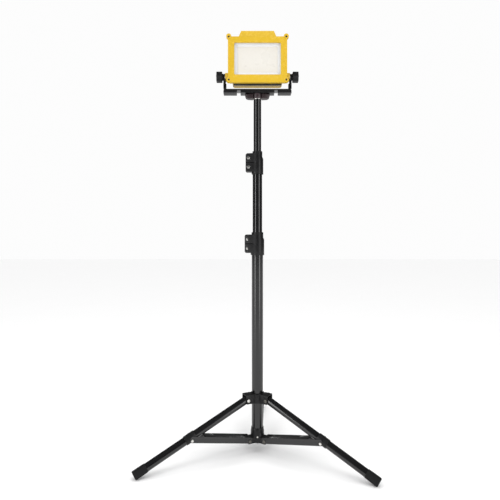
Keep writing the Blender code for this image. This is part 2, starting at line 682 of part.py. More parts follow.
def build_optics(head, rubber, glass, white, board):
    size = (LENS_W + 2 * REBATE - 2 * GAP, LENS_H + 2 * REBATE - 2 * GAP)
    front = BEZEL_BACK - REBATE_DEPTH + GAP
    outer = panel(*size, LENS_Z, 4 * MM)
    inner = panel(LENS_W + 2 * MM, LENS_H + 2 * MM, LENS_Z, 3 * MM)
    gasket = ring_panel("lens_gasket", outer, inner, front, front + GASKET_THICK, head)
    finish(gasket, rubber)
    front += GASKET_THICK + GAP
    bm = prism(panel(*size, LENS_Z, 4 * MM), front, front + GLASS_THICK, "Y")
    finish(add_object("lens_glass", bm, head), glass)

    front = MIDDLE_FRONT + GAP
    floor = MIDDLE_FRONT + POCKET_DEPTH
    board_front = floor - GAP - BOARD_THICK
    width, height = POCKET_W - 2 * GAP, POCKET_H - 2 * GAP
    block = prism(panel(width, height, LENS_Z, 3 * MM), front, board_front - GAP, "Y")
    reflector = add_object("reflector", block, head)
    funnel = bmesh.new()
    rows = []
    for depth, inset in ((front - MM, MM), (board_front + MM, REFLECTOR_IN)):
        corners = panel(width - 2 * inset, height - 2 * inset, LENS_Z, 3 * MM)
        rows.append([funnel.verts.new((x, depth, z)) for x, z in corners])
    funnel.faces.new(rows[0])
    funnel.faces.new(rows[1])
    for i in range(len(rows[0])):
        j = (i + 1) % len(rows[0])
        funnel.faces.new((rows[0][i], rows[0][j], rows[1][j], rows[1][i]))
    boolean(reflector, cutter(funnel, head))
    finish(reflector, white)
    bm = prism(panel(width, height, LENS_Z, 2 * MM), board_front, board_front + BOARD_THICK, "Y")
    finish(add_object("led_board", bm, head), board)


def build_middle(head, black):
    height = HEAD_H - 3 * MM
    bm = prism(panel(BODY_W, height, HEAD_MID_Z, HEAD_CORNER), MIDDLE_FRONT, MIDDLE_BACK, "Y")
    middle = add_object("middle_frame", bm, head)
    pocket = panel(POCKET_W, POCKET_H, LENS_Z, 3 * MM)
    bm = prism(pocket, MIDDLE_FRONT - MM, MIDDLE_FRONT + POCKET_DEPTH, "Y")
    boolean(middle, cutter(bm, head))
    hole = prism(arc((0, LENS_Z), WIRE_HOLE_R, 0, 345, 15), MIDDLE_FRONT, MIDDLE_BACK + MM, "Y")
    boolean(middle, cutter(hole, head))
    finish(middle, black)


def build_shell(head, yellow):
    bm = prism(panel(BODY_W, HEAD_H, HEAD_MID_Z, HEAD_CORNER), SHELL_FRONT, SHELL_BACK, "Y")
    back_edges = [e for e in bm.edges if all(abs(v.co.y - SHELL_BACK) < MM / 10 for v in e.verts)]
    bmesh.ops.recalc_face_normals(bm, faces=bm.faces)
    bmesh.ops.bevel(bm, geom=back_edges, offset=SHELL_BEVEL, segments=2, affect="EDGES", profile=0.5)
    shell = add_object("rear_shell", bm, head)
    inside = panel(BODY_W - 2 * SHELL_WALL, HEAD_H - 2 * SHELL_WALL, HEAD_MID_Z, HEAD_CORNER - SHELL_WALL)
    bm = prism(inside, SHELL_FRONT - MM, SHELL_BACK - SHELL_WALL, "Y")
    bmesh.ops.recalc_face_normals(bm, faces=bm.faces)
    deep = SHELL_BACK - SHELL_WALL
    inner_edges = [e for e in bm.edges if all(abs(v.co.y - deep) < MM / 10 for v in e.verts)]
    width = SHELL_BEVEL - SHELL_WALL
    bmesh.ops.bevel(bm, geom=inner_edges, offset=width, segments=2, affect="EDGES", profile=0.5)
    boolean(shell, cutter(bm, head))
    wall = BODY_W / 2
    for side in (-1, 1):
        near, far = sorted((side * (wall + GAP), side * BOSS_END))
        boolean(shell, cutter(rod(BOSS_R, near, far, "X", 28), head), "UNION")
        near, far = sorted((side * (wall - SHELL_WALL / 2), side * (wall + 4 * MM)))
        root = box((near, SHELL_FRONT, -BOSS_R * 0.8), (far, BOSS_R * 0.6, BOSS_R * 0.8))
        boolean(shell, cutter(root, head), "UNION")
        near, far = sorted((side * (BOSS_END - STUD_LENGTH), side * (BOSS_END + MM)))
        boolean(shell, cutter(rod(STUD_R + STUD_FIT, near, far, "X", 24), head))
    through = deep - SHELL_BEVEL
    beyond = SHELL_BACK + MM
    door = panel(DOOR_W, DOOR_H, DOOR_Z, 4 * MM)
    boolean(shell, cutter(prism(door, through, beyond, "Y"), head))
    hole = prism(arc((BUTTON_X, BUTTON_Z), BUTTON_R + GAP, 0, 345, 23), through, beyond, "Y")
    boolean(shell, cutter(hole, head))
    low = (SOCKET_X - SOCKET_W / 2 - GAP, BUTTON_Z - SOCKET_H / 2 - GAP)
    high = (SOCKET_X + SOCKET_W / 2 + GAP, BUTTON_Z + SOCKET_H / 2 + GAP)
    boolean(shell, cutter(prism(rounded(low, high, 1.5 * MM), through, beyond, "Y"), head))
    finish(shell, yellow)


def build_inside(head, green, grey, black, yellow):
    board_y = SHELL_FRONT + 6 * MM
    bm = box((-55 * MM, board_y, -15 * MM), (55 * MM, board_y + BOARD_THICK, 8 * MM))
    finish(add_object("control_board", bm, head), green)
    battery_y = SHELL_BACK - SHELL_WALL - GAP - BATTERY.y
    low = (-BATTERY.x / 2, battery_y, DOOR_Z - BATTERY.z / 2)
    high = (BATTERY.x / 2, battery_y + BATTERY.y, DOOR_Z + BATTERY.z / 2)
    finish(add_object("battery_pack", box(low, high), head), grey)
    start = board_y + BOARD_THICK + GAP
    low = (SOCKET_X - SOCKET_W / 2, BUTTON_Z - SOCKET_H / 2)
    high = (SOCKET_X + SOCKET_W / 2, BUTTON_Z + SOCKET_H / 2)
    socket = add_object("charge_socket", prism(rounded(low, high, 1.2 * MM), start, SHELL_BACK, "Y"), head)
    low = (low[0] + 2 * MM, low[1] + 2 * MM)
    high = (high[0] - 2 * MM, high[1] - 2 * MM)
    mouth = prism(rounded(low, high, MM), SHELL_BACK - 5 * MM, SHELL_BACK + MM, "Y")
    boolean(socket, cutter(mouth, head))
    finish(socket, black)
    cover = panel(DOOR_W - 2 * GAP, DOOR_H - 2 * GAP, DOOR_Z, 4 * MM)
    face = SHELL_BACK + GAP
    bm = prism(cover, SHELL_BACK - SHELL_WALL, face + MM / 2, "Y")
    door = add_object("battery_cover", bm, head)
    lip = panel(DOOR_W + 2 * DOOR_LIP, DOOR_H + 2 * DOOR_LIP, DOOR_Z, 6 * MM)
    boolean(door, cutter(prism(lip, face, face + DOOR_THICK, "Y"), head), "UNION")
    finish(door, yellow)


def build_button(body, black):
    """Origin at the button's centre on the shell's back face."""
    wall = SHELL_WALL + GAP
    profile = [
        (3 * MM, -SHELL_THICK + 12 * MM),
        (3 * MM, -wall - 2 * MM),
        (BUTTON_R + 2 * MM, -wall - 2 * MM),
        (BUTTON_R + 2 * MM, -wall),
        (BUTTON_R, -wall),
        (BUTTON_R, BUTTON_PROUD - MM / 2),
        (BUTTON_R - MM / 2, BUTTON_PROUD),
    ]
    finish(add_object("power_button", turned(profile, "Y", 24), body), black)


def build_flap(body, rubber):
    """Origin on the flap's hinge, along its top edge."""
    radius = FLAP_PIN_R
    drop = FLAP_H - radius
    outline = rounded((-FLAP_W / 2, -drop), (FLAP_W / 2, 0), 2 * MM)
    flap = add_object("charge_flap", prism(outline, -radius, FLAP_THICK - radius, "Y"), body)
    boolean(flap, cutter(rod(radius, -FLAP_W / 2, FLAP_W / 2, "X", 16), body), "UNION")
    finish(flap, rubber)


def build_knob(word, side, knob_body, head, black, steel):
    """A lobed knob with its stud, and the friction washer between boss and ear."""
    start = EAR_OUT + GAP
    grip = start + COLLAR_THICK
    stud = BOSS_END - STUD_LENGTH + MM
    profile = [(STUD_R, stud), (STUD_R, start), (COLLAR_R, start), (COLLAR_R, grip + 2 * MM)]
    profile = [(r, side * x) for r, x in profile]
    knob = add_object(f"knob_{word}", turned(profile, "X", 24), knob_body)
    count = KNOB_LOBES * 8
    outline = []
    for i in range(count):
        angle = 2 * pi * i / count
        radius = KNOB_R - KNOB_LOBE + KNOB_LOBE * cos(KNOB_LOBES * angle)
        outline.append((radius * cos(angle), radius * sin(angle)))
    near, far = sorted((side * grip, side * (grip + KNOB_THICK)))
    boolean(knob, cutter(prism(outline, near, far, "X"), knob_body), "UNION")
    finish(knob, black)
    near, far = sorted((side * WASHER_IN, side * (WASHER_IN + WASHER_THICK)))
    washer = tube(WASHER_R, STUD_R + STUD_FIT, near, far, "X", 24)
    finish(add_object(f"tilt_washer_{word}", washer, head), steel)


def main():
    for obj in list(bpy.data.objects):
        bpy.data.objects.remove(obj)
    paint = make_material("black_paint", (0.012, 0.012, 0.013), 0.25)
    plastic = make_material("black_plastic", (0.02, 0.02, 0.022), 0.5)
    rubber = make_material("rubber", (0.015, 0.015, 0.015), 0.8)
    yellow = make_material("yellow_shell", (0.85, 0.52, 0.05), 0.4)
    steel = make_material("bright_steel", (0.6, 0.6, 0.6), 0.3, 1.0)
    glass = make_material("milky_lens", (0.88, 0.85, 0.8), 0.3)
    white = make_material("white_tray", (0.85, 0.86, 0.88), 0.35)
    green = make_material("circuit_board", (0.02, 0.12, 0.05), 0.5)
    grey = make_material("battery_wrap", (0.1, 0.12, 0.16), 0.5)

    mast = add_empty("mast", (0, 0, 0))
    mid = add_empty("mid_section", (0, 0, 0), mast)
    upper = add_empty("upper_section", (0, 0, 0), mid)
    build_tubes(mast, mid, upper, paint)
    build_bush("mid_tube_bush", LOWER_TUBE_R - TUBE_WALL, MID_TUBE_BOTTOM_Z, mid, plastic)
    build_bush("upper_tube_bush", MID_TUBE_R - TUBE_WALL, UPPER_TUBE_BOTTOM_Z, upper, plastic)
    half = EAR_DEPTH / 2
    clamps = (
        ("lower_clamp", LOWER_TUBE_R, MID_TUBE_R, LOWER_CLAMP_Z, mast),
        ("upper_clamp", MID_TUBE_R, UPPER_TUBE_R, UPPER_CLAMP_Z, mid),
    )
    for name, outer_r, inner_r, low, parent in clamps:
        hinge_x = -(outer_r + GAP + CLAMP_WALL) - BOLT_REACH
        place = (hinge_x, half + KNUCKLE_R + GAP, low + CLAMP_HEIGHT / 2)
        lever_body = add_empty(name + "_hinge", place, parent)
        build_clamp(name, outer_r, inner_r, low, parent, lever_body, plastic, steel)

    hub = add_empty("leg_hub_slide", (0, 0, LEG_PIVOT_Z), mast)
    foot_frames = {}
    hub_frames = {}
    for side, degrees in LEGS.items():
        turn = (0, 0, radians(degrees - 90) - LEG_TURN)
        foot_frames[side] = add_empty(f"{side}_side", (0, 0, 0), mast, turn)
        hub_frames[side] = add_empty(f"{side}_hub_side", (0, 0, 0), hub, turn)
    build_lower_hub(mast, foot_frames, plastic)
    build_leg_hub(hub, hub_frames, plastic)
    knob_turn = (0, 0, radians(120 - 90) - LEG_TURN)
    build_lock_knob(add_empty("hub_lock", (0, 0, 0), hub, knob_turn), plastic)
    for side in LEGS:
        leg_pivot = add_empty(f"{side}_leg", (LEG_PIVOT_R, 0, 0), hub_frames[side], (0, LEG_DROP, 0))
        place = (HUB_PIN_R, 0, HUB_PIN_Z)
        brace_pivot = add_empty(f"{side}_brace", place, foot_frames[side], (0, -BRACE_RISE, 0))
        build_leg(side, leg_pivot, brace_pivot, hub_frames[side], paint, rubber, plastic, steel)

    nut_body = add_empty("wing_nut_turn", (0, 0, 0), upper)
    yoke_body = add_empty("yoke_pan", (0, 0, PIVOT_Z), upper)
    build_mast_top(upper, nut_body, yoke_body, steel, plastic, paint)
    head = add_empty("head_tilt", (0, 0, 0), yoke_body)
    build_bezel(head, yellow)
    build_optics(head, rubber, glass, white, steel)
    build_middle(head, plastic)
    build_shell(head, yellow)
    build_inside(head, green, grey, plastic, yellow)
    build_button(add_empty("button_press", (BUTTON_X, SHELL_BACK, BUTTON_Z), head), plastic)
    flap_y = SHELL_BACK + GAP + FLAP_PIN_R
    flap_z = BUTTON_Z + FLAP_H / 2 - FLAP_PIN_R
    build_flap(add_empty("flap_hinge", (SOCKET_X, flap_y, flap_z), head), rubber)
    for side, word in ((-1, "left"), (1, "right")):
        build_knob(word, side, add_empty(f"knob_{word}_turn", (0, 0, 0), head), head, plastic, steel)

    bpy.context.view_layer.update()
    corners = []
    for obj in bpy.data.objects:
        if obj.type == "MESH":
            corners += [obj.matrix_world @ vertex.co for vertex in obj.data.vertices]
    low = Vector([min(c[i] for c in corners) for i in range(3)])
    high = Vector([max(c[i] for c in corners) for i in range(3)])
    mast.location = (-(low.x + high.x) / 2, -(low.y + high.y) / 2, -low.z)
    bpy.context.view_layer.update()


main()
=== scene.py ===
"""Battery work light on a telescoping stand: the finished surfaces, fastenings, light and camera.
Metres, +Z up, the light faces -Y, and the floor is at z = 0."""

import json
from math import cos, pi, radians, sin

import bmesh
import bpy
from bpy.props import FloatProperty, FloatVectorProperty, IntProperty, PointerProperty
from mathutils import Matrix, Vector


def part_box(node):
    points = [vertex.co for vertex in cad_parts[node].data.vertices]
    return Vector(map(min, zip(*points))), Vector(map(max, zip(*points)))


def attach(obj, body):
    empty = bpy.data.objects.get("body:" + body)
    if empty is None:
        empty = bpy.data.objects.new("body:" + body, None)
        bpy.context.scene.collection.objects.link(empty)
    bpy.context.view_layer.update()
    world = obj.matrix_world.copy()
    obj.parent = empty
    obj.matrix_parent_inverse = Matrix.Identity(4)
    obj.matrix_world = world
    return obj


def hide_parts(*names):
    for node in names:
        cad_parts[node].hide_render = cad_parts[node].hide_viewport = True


bl_info = {
    "name": "Work Light Finish",
    "version": (1, 0, 0),
    "blender": (4, 5, 0),
    "location": "3D View > Sidebar > Work Light",
    "description": "Surfaces, fastenings and lighting of a flood light on a folding stand",
    "category": "Object",
}

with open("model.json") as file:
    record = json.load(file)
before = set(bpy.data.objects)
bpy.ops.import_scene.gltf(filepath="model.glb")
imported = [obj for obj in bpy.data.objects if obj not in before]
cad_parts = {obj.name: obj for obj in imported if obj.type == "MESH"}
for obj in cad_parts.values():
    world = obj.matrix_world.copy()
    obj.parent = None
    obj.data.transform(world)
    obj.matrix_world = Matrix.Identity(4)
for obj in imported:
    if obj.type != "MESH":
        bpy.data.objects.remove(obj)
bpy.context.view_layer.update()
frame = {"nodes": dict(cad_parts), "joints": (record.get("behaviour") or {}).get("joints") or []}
NODES = frame["nodes"]
MM = 0.001
SIDES = ("left", "right", "rear")
UP = Vector((0, 0, 1))
FRONT = Vector((0, -1, 0))


def middle(node):
    low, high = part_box(node)
    return (low + high) / 2


MAST = middle("lower_tube")
TILT = middle("tilt_washer_left")
JOINTS = {joint["name"]: joint for joint in frame["joints"]}

# ---- fixed measures: SKIN is how far an added shape stands in from, or off, the solid under it ----
MERGE = 0.02 * MM
SKIN = 0.2 * MM
CHEEK_ANGLES = (6, 16, 26, 36, 46, 56)
CORNER_ANGLES = (18, 36, 54, 68)
FINE_EDGE = 0.3 * MM
PIN_ANGLE = 50
SMALL_EDGE = 0.4 * MM
FOOT_CLEARANCE = 0.9 * MM
FOOT_FIT = 0.3 * MM
FOOT_SOLE = 5 * MM
GROOVE = 0.25 * MM
BRACE_SHEET = 1.6 * MM
WEB_START = 62 * MM
NUT_BORE = 5.6 * MM
NUT_WALL = 1.6 * MM
WING_EDGE = 1.3 * MM
LIP_CLEARANCE = 3.3 * MM
LIP_SLOPE = 5 * MM
FRAME_LIP_INSET = 2 * MM
LENS_RIM = 3.0 * MM
DIODE = (2.8 * MM, 2.8 * MM, 0.7 * MM)
LUG_SCREW_ACROSS = 74.8 * MM
LUG_SCREW_UP = 6.8 * MM
LUG_SCREW_DOWN = 15.5 * MM
SCREW_HEIGHT = 0.8 * MM
CAMERA_PLACE = (MAST.x - 0.0196, MAST.y - 1.219, 0.559)
FOCAL_RATIO = 0.92
SKY_LEAN = radians(14)
SKY_ANGLE = radians(110)
SKY_ENERGY = 3.2
FLOOR_HALF = 12.0


# ---- sizes and colours a user would change ----
def length_property(name, description, millimetres):
    return FloatProperty(name=name, description=description, default=millimetres * MM, min=0.0, unit="LENGTH")


def colour_property(name, description, value):
    return FloatVectorProperty(name=name, description=description, subtype="COLOR", default=value)


class WorkLightSizes(bpy.types.PropertyGroup):
    edge: length_property("Edge Rounding", "Rounding of moulded edges", 0.5)
    sheet_edge: length_property("Sheet Rounding", "Rounding of sheet metal edges", 0.4)
    shell_edge: length_property("Shell Rounding", "Rounding of the lamp shell's edges", 1.1)
    # The frame lip is partly a gasket and partly painted shade for the shadow gap under the bezel.
    frame_lip_with_painted_shade: length_property("Frame Lip", "Lip under the lamp's black middle frame", 3.2)
    knob_edge: length_property("Knob Rounding", "Rounding of the tilt knobs' rims", 1.4)
    window_edge: length_property("Window Chamfer", "Chamfer around the lens window", 2.2)
    ear_corner: length_property("Clamp Ear Corner", "Rounding of a clamp ear's outer corners", 5.0)
    cheek_proud: length_property("Cheek Height", "How far a clamp's cheeks stand off its ears", 1.2)
    ear_slot: length_property("Clamp Gap", "Height of the moulded gap between the clamp bolts", 1.8)
    tube_wall: length_property("Tube Wall", "Wall of the mast and leg tubes", 1.2)
    wing_droop: length_property("Wing Droop", "Height of the wing nut's wings", 13.4)
    wing_skirt: length_property("Wing Skirt", "Inner radius of the wing nut's skirt", 10.9)
    lip_width: length_property("Yoke Lip Width", "Width of the lips along the yoke's ears", 6.8)
    lip_thick: length_property("Yoke Lip Thickness", "Thickness of the yoke's lips", 1.8)
    lip_below: length_property("Yoke Lip Top", "How far below the tilt axis the lips end", 9.0)
    brace_pin_along: length_property("Brace Pin Place", "Brace pin's place along the leg", 171)
    brace_pin_drop: length_property("Brace Pin Drop", "Brace pin below the leg's middle", 3.5)
    web_gap: length_property("Brace Web Gap", "From the end of a brace's web to its pin", 33)
    tube_lip: length_property("Tube Lip", "Rounding at the ends of a tube", 0.35)
    leg_slope: FloatProperty(name="Leg Slope", description="Slope of a spread leg below the horizontal",
                             default=radians(24.2), subtype="ANGLE")
    hub_radius: length_property("Lower Hub Radius", "Radius of the lower hub's round body", 17.6)
    hub_rivet_height: length_property("Hub Rivet Height", "Height of the hub's front rivet", 44)
    rivet: length_property("Rivet Radius", "Radius of a rivet head on the legs and braces", 3.6)
    shell_screw: length_property("Shell Screw", "Radius of a screw head on the lamp shell", 2.4)
    lens_border: length_property("Lens Border", "Width of the sloped border of the lens", 12.5)
    lens_dish: length_property("Lens Dish", "How far the lens centre is set back", 1.6)
    led_columns: IntProperty(name="LED Columns", description="Light-emitting diodes across the board",
                             default=12, min=1)
    led_rows: IntProperty(name="LED Rows", description="Light-emitting diodes up the board", default=8, min=1)


class WorkLightColours(bpy.types.PropertyGroup):
    paint: colour_property("Stand Paint", "Gloss paint on tubes, braces and yoke", (0.0032, 0.0032, 0.0036))
    plastic: colour_property("Black Plastic", "Moulded hubs, clamps and knobs", (0.0065, 0.0065, 0.007))
    hub: colour_property("Hub Plastic", "Leg hub and lower hub", (0.005, 0.005, 0.0054))
    wing: colour_property("Wing Nut", "Dark plum wing nut under the yoke", (0.016, 0.008, 0.0095))
    yellow: colour_property("Lamp Shell", "Moulded yellow shell", (0.585, 0.372, 0.012))
    lens: colour_property("Lens", "Frosted lens", (0.62, 0.60, 0.555))
    tray: colour_property("Tray", "Pale sloped border behind the lens", (0.68, 0.70, 0.73))
    rubber: colour_property("Rubber", "Foot caps, gasket and flap", (0.006, 0.006, 0.0063))
    steel: colour_property("Zinc Steel", "Screws, rivets and pins", (0.62, 0.61, 0.58))
    floor: colour_property("Floor", "Studio floor", (0.94, 0.94, 0.94))


# ---- shader node groups shared by the materials ----
def add_socket(tree, name, in_out, kind, default=None):
    socket = tree.interface.new_socket(name=name, in_out=in_out, socket_type=kind)
    if default is not None:
        socket.default_value = default


def node_in(tree, kind, **settings):
    node = tree.nodes.new(kind)
    for key, value in settings.items():
        setattr(node, key, value)
    return node


def feed(tree, socket, value):
    """Links another socket in, or sets a plain value."""
    if isinstance(value, bpy.types.NodeSocket):
        tree.links.new(value, socket)
    else:
        socket.default_value = value


def noise_in(tree, vector, scale, detail, roughness=0.55):
    noise = node_in(tree, "ShaderNodeTexNoise")
    for name, value in (("Vector", vector), ("Scale", scale), ("Detail", detail), ("Roughness", roughness)):
        feed(tree, noise.inputs[name], value)
    return noise.outputs["Fac"]


def math_in(tree, operation, first, second, clamp=False):
    node = node_in(tree, "ShaderNodeMath", operation=operation, use_clamp=clamp)
    feed(tree, node.inputs[0], first)
    feed(tree, node.inputs[1], second)
    return node.outputs[0]


def range_in(tree, value, low, high, to_low=0.0, to_high=1.0):
    node = node_in(tree, "ShaderNodeMapRange")
    for name, given in (("Value", value), ("From Min", low), ("From Max", high), ("To Min", to_low),
                        ("To Max", to_high)):
        feed(tree, node.inputs[name], given)
    return node.outputs["Result"]


def mix_in(tree, factor, first, second):
    node = node_in(tree, "ShaderNodeMix", data_type="RGBA")
    feed(tree, node.inputs["Factor"], factor)
    feed(tree, node.inputs[6], first)
    feed(tree, node.inputs[7], second)
    return node.outputs[2]


def new_group(name, inputs, outputs):
    """A shader group with a vector input, named number inputs and number outputs."""
    tree = bpy.data.node_groups.new(name, "ShaderNodeTree")
    add_socket(tree, "Vector", "INPUT", "NodeSocketVector")
    for label, default in inputs:
        add_socket(tree, label, "INPUT", "NodeSocketFloat", default)
    for label in outputs:
        add_socket(tree, label, "OUTPUT", "NodeSocketFloat")
    return tree, node_in(tree, "NodeGroupInput").outputs, node_in(tree, "NodeGroupOutput").inputs


def grain_group():
    """Fine moulded or sprayed texture: a height for bump and a slow mask for patches."""
    inputs = (("Scale", 900.0), ("Patch Scale", 22.0))
    tree, given, made = new_group("surface grain", inputs, ("Height", "Patches"))
    fine = noise_in(tree, given["Vector"], given["Scale"], 2.0)
    slow = noise_in(tree, given["Vector"], given["Patch Scale"], 3.0)
    wave = math_in(tree, "MULTIPLY", slow, 0.6)
    tree.links.new(math_in(tree, "ADD", fine, wave), made["Height"])
    tree.links.new(range_in(tree, slow, 0.35, 0.68), made["Patches"])


def wear_group():
    """Rubbed edges, from the pieces' own edge attribute broken up by noise."""
    tree, given, made = new_group("edge wear", (("Edge", 0.0), ("Amount", 0.5)), ("Mask",))
    broken = noise_in(tree, given["Vector"], 170.0, 4.0, 0.65)
    rubbed = range_in(tree, broken, 0.46, 0.66)
    strength = math_in(tree, "MULTIPLY", given["Edge"], given["Amount"])
    tree.links.new(math_in(tree, "MULTIPLY", rubbed, strength, True), made["Mask"])


def dust_group():
    """A broken film of dust, thicker on faces that look up."""
    tree, given, made = new_group("workshop dust", (("Amount", 0.1),), ("Mask",))
    split = node_in(tree, "ShaderNodeSeparateXYZ")
    tree.links.new(node_in(tree, "ShaderNodeNewGeometry").outputs["Normal"], split.inputs[0])
    upward = range_in(tree, split.outputs["Z"], 0.2, 1.0, 0.25, 1.0)
    cloud = range_in(tree, noise_in(tree, given["Vector"], 48.0, 5.0, 0.7), 0.4, 0.75)
    film = math_in(tree, "MULTIPLY", upward, cloud)
    tree.links.new(math_in(tree, "MULTIPLY", film, given["Amount"], True), made["Mask"])


def group_in(tree, group, vector, **values):
    node = node_in(tree, "ShaderNodeGroup", node_tree=bpy.data.node_groups[group])
    tree.links.new(vector, node.inputs["Vector"])
    for name, value in values.items():
        feed(tree, node.inputs[name], value)
    return node.outputs


def finish_material(name, colour, roughness, metallic=0.0, grain=900.0, depth=0.08, patch=0.12,
                    wear=0.3, worn=(0.30, 0.30, 0.30), dust=0.06, spread=0.08, specular=0.5):
    """A whole finish: grain, patches, rubbed edges and dust over one base colour."""
    material = bpy.data.materials.new(name)
    material.use_nodes = True
    tree = material.node_tree
    shader = tree.nodes["Principled BSDF"]
    shader.inputs["Metallic"].default_value = metallic
    shader.inputs["Specular IOR Level"].default_value = specular
    place = node_in(tree, "ShaderNodeTexCoord").outputs["Object"]
    edge = node_in(tree, "ShaderNodeAttribute", attribute_name="edge").outputs["Fac"]
    texture = group_in(tree, "surface grain", place, Scale=grain)
    rubbed = group_in(tree, "edge wear", place, Edge=edge, Amount=wear)["Mask"]
    dusty = group_in(tree, "workshop dust", place, Amount=dust)["Mask"]
    colour = tuple(colour)[:3]
    lighter = tuple(min(1.0, part * (1 + patch) + patch * 0.01) for part in colour) + (1.0,)
    mixed = mix_in(tree, texture["Patches"], colour + (1.0,), lighter)
    mixed = mix_in(tree, rubbed, mixed, tuple(worn) + (1.0,))
    mixed = mix_in(tree, dusty, mixed, (0.42, 0.40, 0.36, 1.0))
    tree.links.new(mixed, shader.inputs["Base Color"])
    rough = range_in(tree, texture["Patches"], 0.0, 1.0, roughness - spread / 2, roughness + spread / 2)
    rough = math_in(tree, "ADD", rough, math_in(tree, "MULTIPLY", dusty, 0.5), True)
    tree.links.new(rough, shader.inputs["Roughness"])
    bump = node_in(tree, "ShaderNodeBump")
    bump.inputs["Strength"].default_value = depth
    bump.inputs["Distance"].default_value = 0.3 * MM
    tree.links.new(texture["Height"], bump.inputs["Height"])
    tree.links.new(bump.outputs["Normal"], shader.inputs["Normal"])
    return material


def add_materials(colours):
    for build in (grain_group, wear_group, dust_group):
        build()
    finish_material("gloss black paint", colours.paint, 0.16, depth=0.002, grain=700.0, wear=0.2,
                    worn=(0.02, 0.02, 0.02), dust=0.002, spread=0.02, specular=0.60)
    finish_material("moulded black plastic", colours.plastic, 0.36, depth=0.03, wear=0.3,
                    worn=(0.022, 0.022, 0.022), dust=0.003, specular=0.24)
    finish_material("hub plastic", colours.hub, 0.30, depth=0.02, wear=0.3, worn=(0.02, 0.02, 0.02),
                    dust=0.002, specular=0.24)
    finish_material("plum plastic", colours.wing, 0.42, depth=0.10, wear=0.4, worn=(0.09, 0.06, 0.07),
                    dust=0.012)
    finish_material("blackened steel", (0.10, 0.095, 0.085), 0.36, metallic=0.85, grain=500.0, depth=0.05,
                    wear=0.6, worn=(0.35, 0.34, 0.32), dust=0.02)
    finish_material("yellow shell plastic", colours.yellow, 0.42, depth=0.10, patch=0.04, wear=0.25,
                    worn=(0.90, 0.64, 0.16), dust=0.012)
    finish_material("black rubber", colours.rubber, 0.72, depth=0.25, grain=1400.0, wear=0.5,
                    worn=(0.03, 0.03, 0.03), dust=0.01, specular=0.2)
    finish_material("zinc steel", colours.steel, 0.30, metallic=1.0, grain=500.0, depth=0.05,
                    wear=0.4, worn=(0.8, 0.8, 0.78), dust=0.05)
    finish_material("white tray plastic", colours.tray, 0.30, depth=0.03, patch=0.03, wear=0.0, dust=0.0)
    finish_material("coated board", (0.82, 0.82, 0.80), 0.45, depth=0.03, patch=0.03, wear=0.0, dust=0.0)
    finish_material("circuit lacquer", (0.015, 0.11, 0.045), 0.28, depth=0.05, wear=0.0, dust=0.0)
    finish_material("shrink film", (0.05, 0.08, 0.16), 0.30, depth=0.08, grain=120.0, wear=0.0, dust=0.0)
    finish_material("diode phosphor", (0.95, 0.72, 0.20), 0.38, depth=0.02, patch=0.05, wear=0.0, dust=0.0)
    # Both lens materials get a faint warm emission: a painted glow that brightens the lens and its border
    # while the diodes behind stay dark.
    for name, colour, painted_glow in (("frosted lens", colours.lens, 0.05), ("lens border", colours.tray, 0.03)):
        lens = finish_material(name, colour, 0.30, depth=0.03, grain=1600.0, patch=0.003, wear=0.0, dust=0.0)
        shader = lens.node_tree.nodes["Principled BSDF"]
        shader.inputs["Emission Color"].default_value = (1.0, 0.975, 0.93, 1.0)
        shader.inputs["Emission Strength"].default_value = painted_glow


def use(piece, name):
    piece.data.materials.clear()
    piece.data.materials.append(bpy.data.materials[name])


# ---- mesh helpers ----
def linked(name, data):
    """A new object in the scene."""
    made = bpy.data.objects.new(name, data)
    bpy.context.scene.collection.objects.link(made)
    return made


def add_piece(name, bm, body, material, sharp=38.0):
    """A finished piece from a bmesh already in its place."""
    bmesh.ops.recalc_face_normals(bm, faces=bm.faces)
    mesh = bpy.data.meshes.new(name)
    bm.to_mesh(mesh)
    bm.free()
    piece = linked(name, mesh)
    mesh.shade_smooth()
    mesh.set_sharp_from_angle(angle=radians(sharp))
    use(piece, material)
    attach(piece, body)
    return piece


def mark_edges(bm, faces):
    """Stores 1 on the corners of rounded edges, for the rubbed finish."""
    layer = bm.verts.layers.float.get("edge") or bm.verts.layers.float.new("edge")
    for face in faces:
        for vert in face.verts:
            vert[layer] = 1.0


def merged(node):
    """A merged copy of a solid, with its flat faces whole again."""
    bm = bmesh.new()
    bm.from_mesh(NODES[node].data)
    bmesh.ops.remove_doubles(bm, verts=bm.verts, dist=MERGE)
    bmesh.ops.dissolve_limit(bm, angle_limit=radians(1.0), verts=bm.verts, edges=bm.edges)
    return bm


def round_edges(bm, width, angle=32.0, shortest=0.0):
    edges = []
    for edge in bm.edges:
        if len(edge.link_faces) == 2 and edge.is_convex and edge.calc_length() > shortest:
            if edge.calc_face_angle(0) > radians(angle):
                edges.append(edge)
    made = bmesh.ops.bevel(bm, geom=edges, offset=width, segments=2, profile=0.6, affect="EDGES",
                           clamp_overlap=True)
    mark_edges(bm, made["faces"])


def refined(node, body, material, width, angle=32.0, sharp=38.0):
    """A solid with rounded, worn edges, in place of its plain version."""
    bm = merged(node)
    if width:
        round_edges(bm, width, angle)
    piece = add_piece(node + "_finished", bm, body, material, sharp)
    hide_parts(node)
    return piece


def turned(profile, matrix, segments=72):
    """A closed ring or solid turned about the matrix's Z, from (radius, z) points."""
    bm = bmesh.new()
    rings = []
    for radius, z in profile:
        if radius < 1e-7:
            rings.append([bm.verts.new(matrix @ Vector((0, 0, z)))])
            continue
        ring = []
        for step in range(segments):
            angle = 2 * pi * step / segments
            ring.append(bm.verts.new(matrix @ Vector((radius * cos(angle), radius * sin(angle), z))))
        rings.append(ring)
    pairs = list(zip(rings, rings[1:]))
    if len(rings[0]) > 1 and len(rings[-1]) > 1:
        pairs.append((rings[-1], rings[0]))
    for low, high in pairs:
        for step in range(segments):
            after = (step + 1) % segments
            if len(low) == 1 and len(high) == 1:
                break
            if len(low) == 1:
                bm.faces.new((low[0], high[step], high[after]))
            elif len(high) == 1:
                bm.faces.new((low[step], low[after], high[0]))
            else:
                bm.faces.new((low[step], low[after], high[after], high[step]))
    return bm


